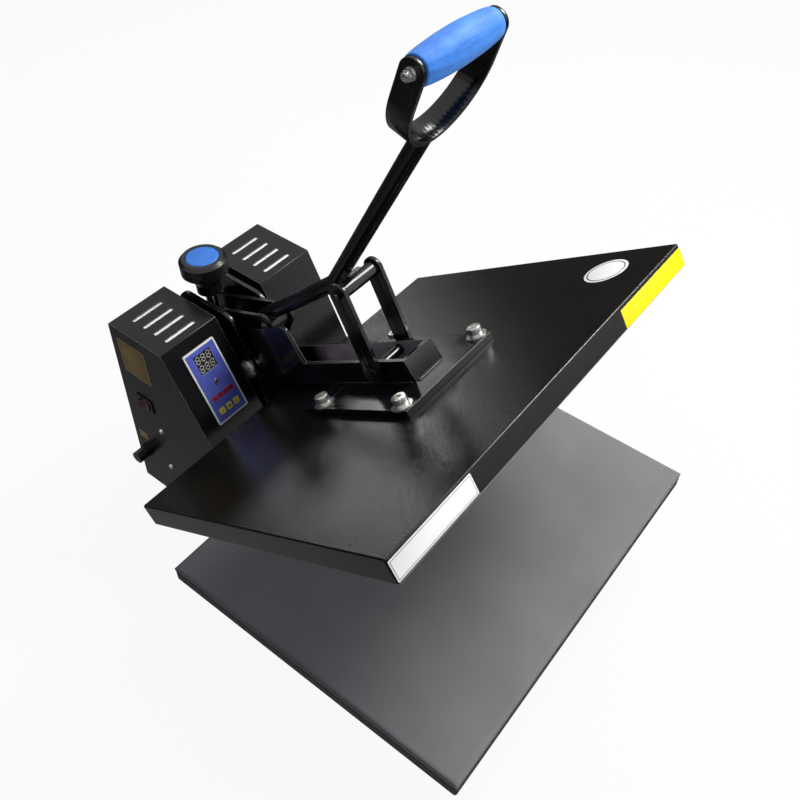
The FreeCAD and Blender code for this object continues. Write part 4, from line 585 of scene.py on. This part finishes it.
# Blank labels where the photograph has printed ones.
def make_labels():
    front = PLATEN_FRAME @ Matrix.Translation(Vector((0, -PLATEN_HALF_DEPTH, 0)) * MM) \
        @ Matrix.Rotation(math.pi / 2, 4, "X")
    strips = (("strip_white", STRIP_WHITE, 54.6, 10.6, "label_white"),
              ("strip_yellow", STRIP_YELLOW, 65.0, 10.4, "label_yellow"))
    for name, centre, half_x, half_y, look in strips:
        outline = rounded_outline(half_x, half_y, 0.8, 3)
        piece(name, slab(outline, 0.02, 0.3, 0.12, 2, centre), "platen", EXTRA[look],
              matrix=front)
    frame_line("strip_white_line", front, STRIP_WHITE, 53.2, 9.2, 0.5, 0.36, "platen", "ink")
    top = PLATEN_FRAME @ Matrix.Translation(Vector((202.5, -138.6, COVER_TOP)) * MM)
    piece("sticker_round", lathe([(0, 0.02), (25, 0.02), (25, 0.2), (24.8, 0.3), (0, 0.3)], 72),
          "platen", EXTRA["label_white"], matrix=top)
    piece("sticker_ring", lathe([(20.6, 0.2), (21.9, 0.2), (21.9, 0.36), (20.6, 0.36),
                                 (20.6, 0.2)], 72), "platen", EXTRA["ink"], matrix=top)
    # Flank of the left housing: local X runs forward from the middle of the platens.
    plate = rounded_outline(23.5, 27.5, 0.6, 3)
    piece("flank_label", slab(plate, 0.02, 0.25, 0.1, 2, FLANK_LABEL), "base",
          EXTRA["label_line"], matrix=FLANK_FRAME)
    frame_line("flank_label_gap", FLANK_FRAME, FLANK_LABEL, 21.8, 25.8, 1.5, 0.32, "base",
               "ink")
    piece("flank_label_field", slab(rounded_outline(19.6, 23.6, 0.5, 3), 0.2, 0.34, 0.08, 2,
                                    FLANK_LABEL), "base", EXTRA["label_gold"],
          matrix=FLANK_FRAME)
    frame_line("flank_label_line", FLANK_FRAME, FLANK_LABEL, 17.4, 21.4, 0.6, 0.4, "base",
               "ink")
    piece("flank_strip", slab(rounded_outline(8, 6, 0.5, 3), 0.02, 0.25, 0.1, 2, FLANK_STRIP),
          "base", EXTRA["label_line"], matrix=FLANK_FRAME)
    piece("flank_strip_field", slab(rounded_outline(8, 2.6, 0.3, 3), 0.2, 0.32, 0.05, 2,
                                    FLANK_STRIP), "base", EXTRA["label_gold"],
          matrix=FLANK_FRAME)


def frame_line(name, matrix, centre, half_x, half_y, width, height, body, look):
    """A thin printed line round a label."""
    mesh = bmesh.new()
    levels = []
    for inset, lift in ((0, height - 0.12), (0, height), (width, height), (width, height - 0.12)):
        levels.append([mesh.verts.new(Vector((centre[0] + sx * (half_x - inset),
                                              centre[1] + sy * (half_y - inset), lift)) * MM)
                       for sx, sy in ((1, 1), (-1, 1), (-1, -1), (1, -1))])
    for lower, upper in zip(levels, levels[1:] + levels[:1]):
        for index in range(4):
            after = (index + 1) % 4
            mesh.faces.new((lower[index], lower[after], upper[after], upper[index]))
    return piece(name, mesh, body, EXTRA[look], matrix=matrix, smooth=False)


# Control panel: printed film with openings, display digits and small marks.
def make_panel():
    face = 2.0
    half_x, low, high = 21.8, -113.3, -19.2
    holes = [(-13.0, 13.0, -50.0, -25.0)]
    for number in (-1, 0, 1):
        middle = number * KEY_PITCH
        holes.append((middle - 4.4, middle + 4.4, *KEY_ROW))
    for number in range(4):
        middle = (number - 1.5) * LAMP_PITCH
        holes.append((middle - 3.6, middle + 3.6, *LAMP_ROW))
    xs = sorted({-half_x, half_x} | {v for h in holes for v in h[:2]})
    ys = sorted({low, high} | {v for h in holes for v in h[2:]})
    mesh = bmesh.new()
    corners = {}

    def corner(x, y):
        if (x, y) not in corners:
            corners[(x, y)] = mesh.verts.new(Vector((x, y, face + 0.02)) * MM)
        return corners[(x, y)]

    for x0, x1 in zip(xs, xs[1:]):
        for y0, y1 in zip(ys, ys[1:]):
            cx, cy = (x0 + x1) / 2, (y0 + y1) / 2
            if not any(h[0] < cx < h[1] and h[2] < cy < h[3] for h in holes):
                mesh.faces.new((corner(x0, y0), corner(x1, y0), corner(x1, y1), corner(x0, y1)))
    made = bmesh.ops.extrude_face_region(mesh, geom=mesh.faces[:])
    bmesh.ops.translate(mesh, vec=(0, 0, 0.22 * MM),
                        verts=[v for v in made["geom"] if isinstance(v, bmesh.types.BMVert)])
    # The extrusion leaves its parts in an order that changes from run to run.
    order = Vector((1, 7.13, 53.7))
    mesh.verts.sort(key=lambda vertex: vertex.co.dot(order))
    mesh.faces.sort(key=lambda face: face.calc_center_median().dot(order))
    piece("panel_film", mesh, "base", EXTRA["film"], SLOPE_FRAME, smooth=False)

    segments = []
    top = 1.5
    for line in (0, 1):
        for place in (-1, 0, 1):
            segments += digit_meshes(place * 8.2, -31.6 - line * 11.8, top)
    piece("display_digits", merged(segments), "base", EXTRA["segment"],
          SLOPE_FRAME, smooth=False)

    spot = SLOPE_FRAME @ Matrix.Translation(Vector((0.6, -66.0, face + 0.2)) * MM)
    piece("panel_bezel", lathe([(1.4, 0), (3.6, 0), (3.5, 0.5), (3.0, 0.9), (2.2, 1.0),
                                (1.7, 0.7), (1.4, 0)], 36), "base", LOOKS["steel"],
          spot)
    piece("panel_lens", lathe([(1.6, 0.1), (1.6, 0.7), (1.2, 1.05), (0.6, 1.25), (0, 1.3)], 28),
          "base", EXTRA["ink"], matrix=spot)
    # On the keys: a triangle up, a dot and a triangle down.
    marks = []
    for number, shape in ((-1, 3), (0, 16), (1, 3)):
        outline = []
        for step in range(shape):
            angle = math.pi / 2 + 2 * math.pi * step / shape + (math.pi if number > 0 else 0)
            outline.append((1.5 * math.cos(angle), 1.5 * math.sin(angle)))
        marks.append(slab(outline, 2.95, 3.1, centre=(number * KEY_PITCH, -101.5)))
    piece("key_marks_base", marks[1], "key_middle", EXTRA["ink"], matrix=SLOPE_FRAME, smooth=False)
    piece("key_mark_left", marks[0], "key_left", EXTRA["ink"], matrix=SLOPE_FRAME, smooth=False)
    piece("key_mark_right", marks[2], "key_right", EXTRA["ink"], matrix=SLOPE_FRAME, smooth=False)


def digit_meshes(x, y, top):
    """The seven bars of one display digit."""
    wide, tall, thick = 2.5, 4.2, 0.62
    bars = [((-wide, 0), (wide, 0)), ((-wide, tall), (wide, tall)), ((-wide, -tall), (wide, -tall)),
            ((-wide, 0), (-wide, tall)), ((wide, 0), (wide, tall)),
            ((-wide, -tall), (-wide, 0)), ((wide, -tall), (wide, 0))]
    made = []
    for (x0, y0), (x1, y1) in bars:
        run = Vector((x1 - x0, y1 - y0)).normalized()
        side = Vector((-run.y, run.x))
        a, b = Vector((x0, y0)) + run * 0.5, Vector((x1, y1)) - run * 0.5
        outline = [a, a + (run - side) * thick, b - (run + side) * thick, b,
                   b - (run - side) * thick, a + (run + side) * thick]
        lean = 0.1
        made.append(slab([(x + p.x + lean * p.y, y + p.y) for p in outline], top, top + 0.14))
    return made


# White sheets inside the housings, close under the vents: painted light, standing in for the light
# seen through the vents.
def make_vent_light_sheets():
    for name, side in (("vent_light_left", -1), ("vent_light_right", 1)):
        outline = rounded_outline(36, 37, 2, 3)
        sheet = slab(outline, -0.8, -0.1, 0.2, 2)
        piece(name, sheet, "base", EXTRA["vent_light_sheet"],
              matrix=Matrix.Translation(row(358, HOUSING_TOP - 1.5, side * HOUSING_MIDDLE)))


# Weld beads.
def make_welds():
    paint = LOOKS["black_paint"]
    # Channel arm on the bolted plate.
    lines = []
    lift, cheek = 35.4, 23.6
    for side in (-1, 1):
        lines.append(bead([Vector((side * cheek, -38, lift)), Vector((side * cheek, 84, lift))],
                          1.8, seed=side))
    lines.append(bead([Vector((-21, -42.6, lift)), Vector((21, -42.6, lift))], 1.8, seed=5))
    piece("weld_channel", merged(lines), "platen", paint, PLATEN_FRAME)
    # Sleeve in the arm.
    rings = []
    for side in (-1, 1):
        ring = [Vector((side * 23.4, HINGE_BACK + 18 * math.cos(angle),
                        HINGE_LIFT + 18 * math.sin(angle)))
                for angle in [2 * math.pi * step / 40 for step in range(41)]]
        rings.append(bead(ring, 1.5, seed=side + 9))
    piece("weld_sleeve", merged(rings), "platen", paint, PLATEN_FRAME)
    # Short cross tube on the lever.
    lines = []
    for side in (-1, 1):
        lines.append(bead([Vector((-9, -11.6, 30.6 + side * 6.2)),
                           Vector((11, -11.6, 30.6 + side * 6.2))], 2.1, 0.4, 3.2, side + 20))
    piece("weld_lever", merged(lines), "lever", EXTRA["weld"],
          turned(row(156, 290.5), 26.5))


# Domed nuts on the handle's bolt, smaller than the source's, as the photograph shows them.
def make_nuts():
    corner, dome_radius, dome_foot, dome_rise = 4.7, 3.5, 5.6, 1.7
    hexagon = [(corner * math.cos(math.pi / 3 * step), corner * math.sin(math.pi / 3 * step))
               for step in range(6)]
    dome = [(0, 3.0), (dome_radius, 3.0), (dome_radius, dome_foot)]
    for step in range(1, 6):
        angle = math.pi / 2 * step / 6
        dome.append((dome_radius * math.cos(angle), dome_foot + dome_rise * math.sin(angle)))
    dome.append((0, 7.3))
    made = []
    for side in (-1, 1):
        one = merged([slab(hexagon, 0, 4.4, 0.7, 3), lathe(dome, 40),
                      lathe([(0, -0.8), (5.3, -0.8), (5.5, -0.5), (5.4, 0.0), (0, 0.0)], 40)])
        bmesh.ops.transform(one, verts=one.verts, matrix=Matrix.Translation((side * 0.056, 0, 0))
                            @ Matrix.Rotation(side * math.pi / 2, 4, "Y"))
        made.append(one)
    low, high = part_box("grip_bolt")
    nuts = piece("grip_domes", merged(made), "lever", LOOKS["zinc_steel"],
                 turned((low + high) / 2, HANDLE_LEAN), smooth=False)
    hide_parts("grip_nuts")


make_pad()
make_grip()
make_nuts()
make_labels()
make_panel()
make_vent_light_sheets()
make_welds()


# Floor, light and camera.
def make_floor():
    mesh = bmesh.new()
    bmesh.ops.create_grid(mesh, x_segments=2, y_segments=2, size=6)
    data = bpy.data.meshes.new("floor")
    mesh.to_mesh(data)
    mesh.free()
    floor = bpy.data.objects.new("floor", data)
    bpy.context.scene.collection.objects.link(floor)
    floor.location.z = -0.0005
    look = Look("floor_pale")
    path = look.add("ShaderNodeLightPath")
    seen = look.math("MAXIMUM", path.outputs["Is Camera Ray"], path.outputs["Is Transmission Ray"])
    pale = look.add("ShaderNodeBsdfDiffuse", {"Color": look.mixed(
        look.ranged(look.noise(3, 3), 0.3, 0.7, 0, 1), colour(226, 226, 226),
        colour(222, 222, 222))})
    glow = look.add("ShaderNodeEmission", {"Color": (1, 1, 1, 1), "Strength": 1.0})
    both = look.add("ShaderNodeMixShader", {0: look.math("MULTIPLY", seen, 0.93),
                                            1: pale.outputs[0], 2: glow.outputs[0]})
    # Clear to glossy rays, which see the world below the horizon instead.
    clear = look.add("ShaderNodeBsdfTransparent")
    both = look.add("ShaderNodeMixShader", {0: path.outputs["Is Glossy Ray"],
                                            1: both.outputs[0], 2: clear.outputs[0]})
    look.feed(look.tree.nodes["Material Output"].inputs["Surface"], both.outputs[0])
    data.materials.append(look.material)


def make_world():
    world = bpy.data.worlds.new("studio")
    bpy.context.scene.world = world
    world.use_nodes = True
    tree = world.node_tree
    links, nodes = tree.links, tree.nodes
    nodes.clear()

    def add(kind, **settings):
        node = nodes.new(kind)
        for key, value in settings.items():
            setattr(node, key, value)
        return node

    def smooth(value, low, high, new_low, new_high):
        node = add("ShaderNodeMapRange", interpolation_type="SMOOTHSTEP")
        links.new(value, node.inputs["Value"])
        for key, number in (("From Min", low), ("From Max", high), ("To Min", new_low),
                            ("To Max", new_high)):
            node.inputs[key].default_value = number
        return node.outputs[0]

    def combine(operation, first, second):
        node = add("ShaderNodeMath", operation=operation)
        for socket, value in zip(node.inputs, (first, second)):
            if isinstance(value, bpy.types.NodeSocket):
                links.new(value, socket)
            else:
                socket.default_value = value
        return node.outputs[0]

    way = add("ShaderNodeTexCoord").outputs["Generated"]

    def along(axis):
        dot = add("ShaderNodeVectorMath", operation="DOT_PRODUCT")
        links.new(way, dot.inputs[0])
        dot.inputs[1].default_value = axis
        return dot.outputs["Value"]

    def window(azimuth, half, low, high, edge, strength):
        """A pale upright field, given by directions in degrees, with soft edges."""
        turn, soft = math.radians(azimuth), math.sin(math.radians(edge))
        ahead = along((math.cos(turn), math.sin(turn), 0))
        aside = combine("ABSOLUTE", along((-math.sin(turn), math.cos(turn), 0)), 0)
        wide = math.sin(math.radians(half))
        field = combine("MULTIPLY", smooth(aside, wide, wide + soft, strength, 0),
                        smooth(ahead, 0, 0.1, 0, 1))
        bottom, top = math.sin(math.radians(low)), math.sin(math.radians(high))
        field = combine("MULTIPLY", field, smooth(along((0, 0, 1)), bottom - soft, bottom, 0, 1))
        return combine("MULTIPLY", field, smooth(along((0, 0, 1)), top, top + soft, 1, 0))

    # What glossy surfaces see: pale above, dimmer below, and a dark band round the horizon with
    # a bright opening behind on the right and a dimmer pale field in front.
    above, below, band, ambient = 0.85, 0.16, 0.05, 0.11
    studio = combine("ADD", smooth(along((0, 0, 1)), 0.15, 0.6, band, above),
                     smooth(along((0, 0, 1)), -0.85, -0.3, below, 0.0))
    studio = combine("ADD", studio, window(60.6, 5.6, -4.0, -1.4, 2.2, 4.7))
    studio = combine("ADD", studio, window(-57, 14, 3, 24, 8, 1.2))
    path = add("ShaderNodeLightPath")
    seen = combine("MAXIMUM", path.outputs["Is Camera Ray"], path.outputs["Is Transmission Ray"])
    shiny = combine("MULTIPLY", path.outputs["Is Glossy Ray"], studio)
    strength = combine("ADD", seen, shiny)
    either = combine("MAXIMUM", seen, path.outputs["Is Glossy Ray"])
    rest = combine("SUBTRACT", 1, either)
    strength = combine("ADD", strength, combine("MULTIPLY", rest, ambient))
    background = add("ShaderNodeBackground")
    tint = add("ShaderNodeMix", data_type="RGBA")
    links.new(either, tint.inputs[0])
    tint.inputs[6].default_value = (0.86, 0.94, 1.15, 1)
    tint.inputs[7].default_value = (1, 1, 1, 1)
    links.new(tint.outputs[2], background.inputs["Color"])
    links.new(strength, background.inputs["Strength"])
    links.new(background.outputs[0], add("ShaderNodeOutputWorld").inputs["Surface"])


def make_lamp(name, toward, distance, size, level, tint=(1, 1, 1), shine=True):
    """A square soft light: level 1 shows a matte colour that faces it as it is written."""
    data = bpy.data.lights.new(name, "AREA")
    data.shape = "SQUARE"
    data.size = size
    data.energy = level * math.pi ** 2 * distance ** 2
    data.color = tint
    lamp = bpy.data.objects.new(name, data)
    bpy.context.scene.collection.objects.link(lamp)
    direction = Vector(toward).normalized()
    lamp.location = Vector((0, -0.05, 0.3)) + direction * distance
    lamp.rotation_mode = "QUATERNION"
    lamp.rotation_quaternion = direction.to_track_quat("Z", "Y")
    lamp.visible_camera = False
    lamp.visible_glossy = shine


def make_camera():
    """The photograph's viewpoint, fitted to the corners of the two platens."""
    data = bpy.data.cameras.new("camera")
    data.sensor_width = 36
    data.lens = 39.788
    data.shift_x, data.shift_y = 0.0003, 0.0002
    camera = bpy.data.objects.new("camera", data)
    bpy.context.scene.collection.objects.link(camera)
    right = Vector((0.612987, -0.78993, 0.016067))
    up = Vector((0.57515, 0.460076, 0.676412))
    back = -Vector((0.54171, 0.405391, -0.736349))
    turn = Matrix((right, up, back)).transposed().to_4x4()
    camera.matrix_world = Matrix.Translation((-0.53463, -0.4488, 1.03694)) @ turn
    bpy.context.scene.camera = camera


make_floor()
make_world()
make_lamp("key", (0.62, -0.15, 0.77), 2.0, 0.8, 1.0, (1, 0.98, 0.95))
make_lamp("front", (0.3, -0.85, 0.42), 2.2, 1.2, 0.5, shine=False)
make_lamp("top", (0.2, 0.5, 0.85), 2.2, 1.4, 0.3, shine=False)
make_camera()
bpy.context.scene.view_settings.view_transform = "Standard"
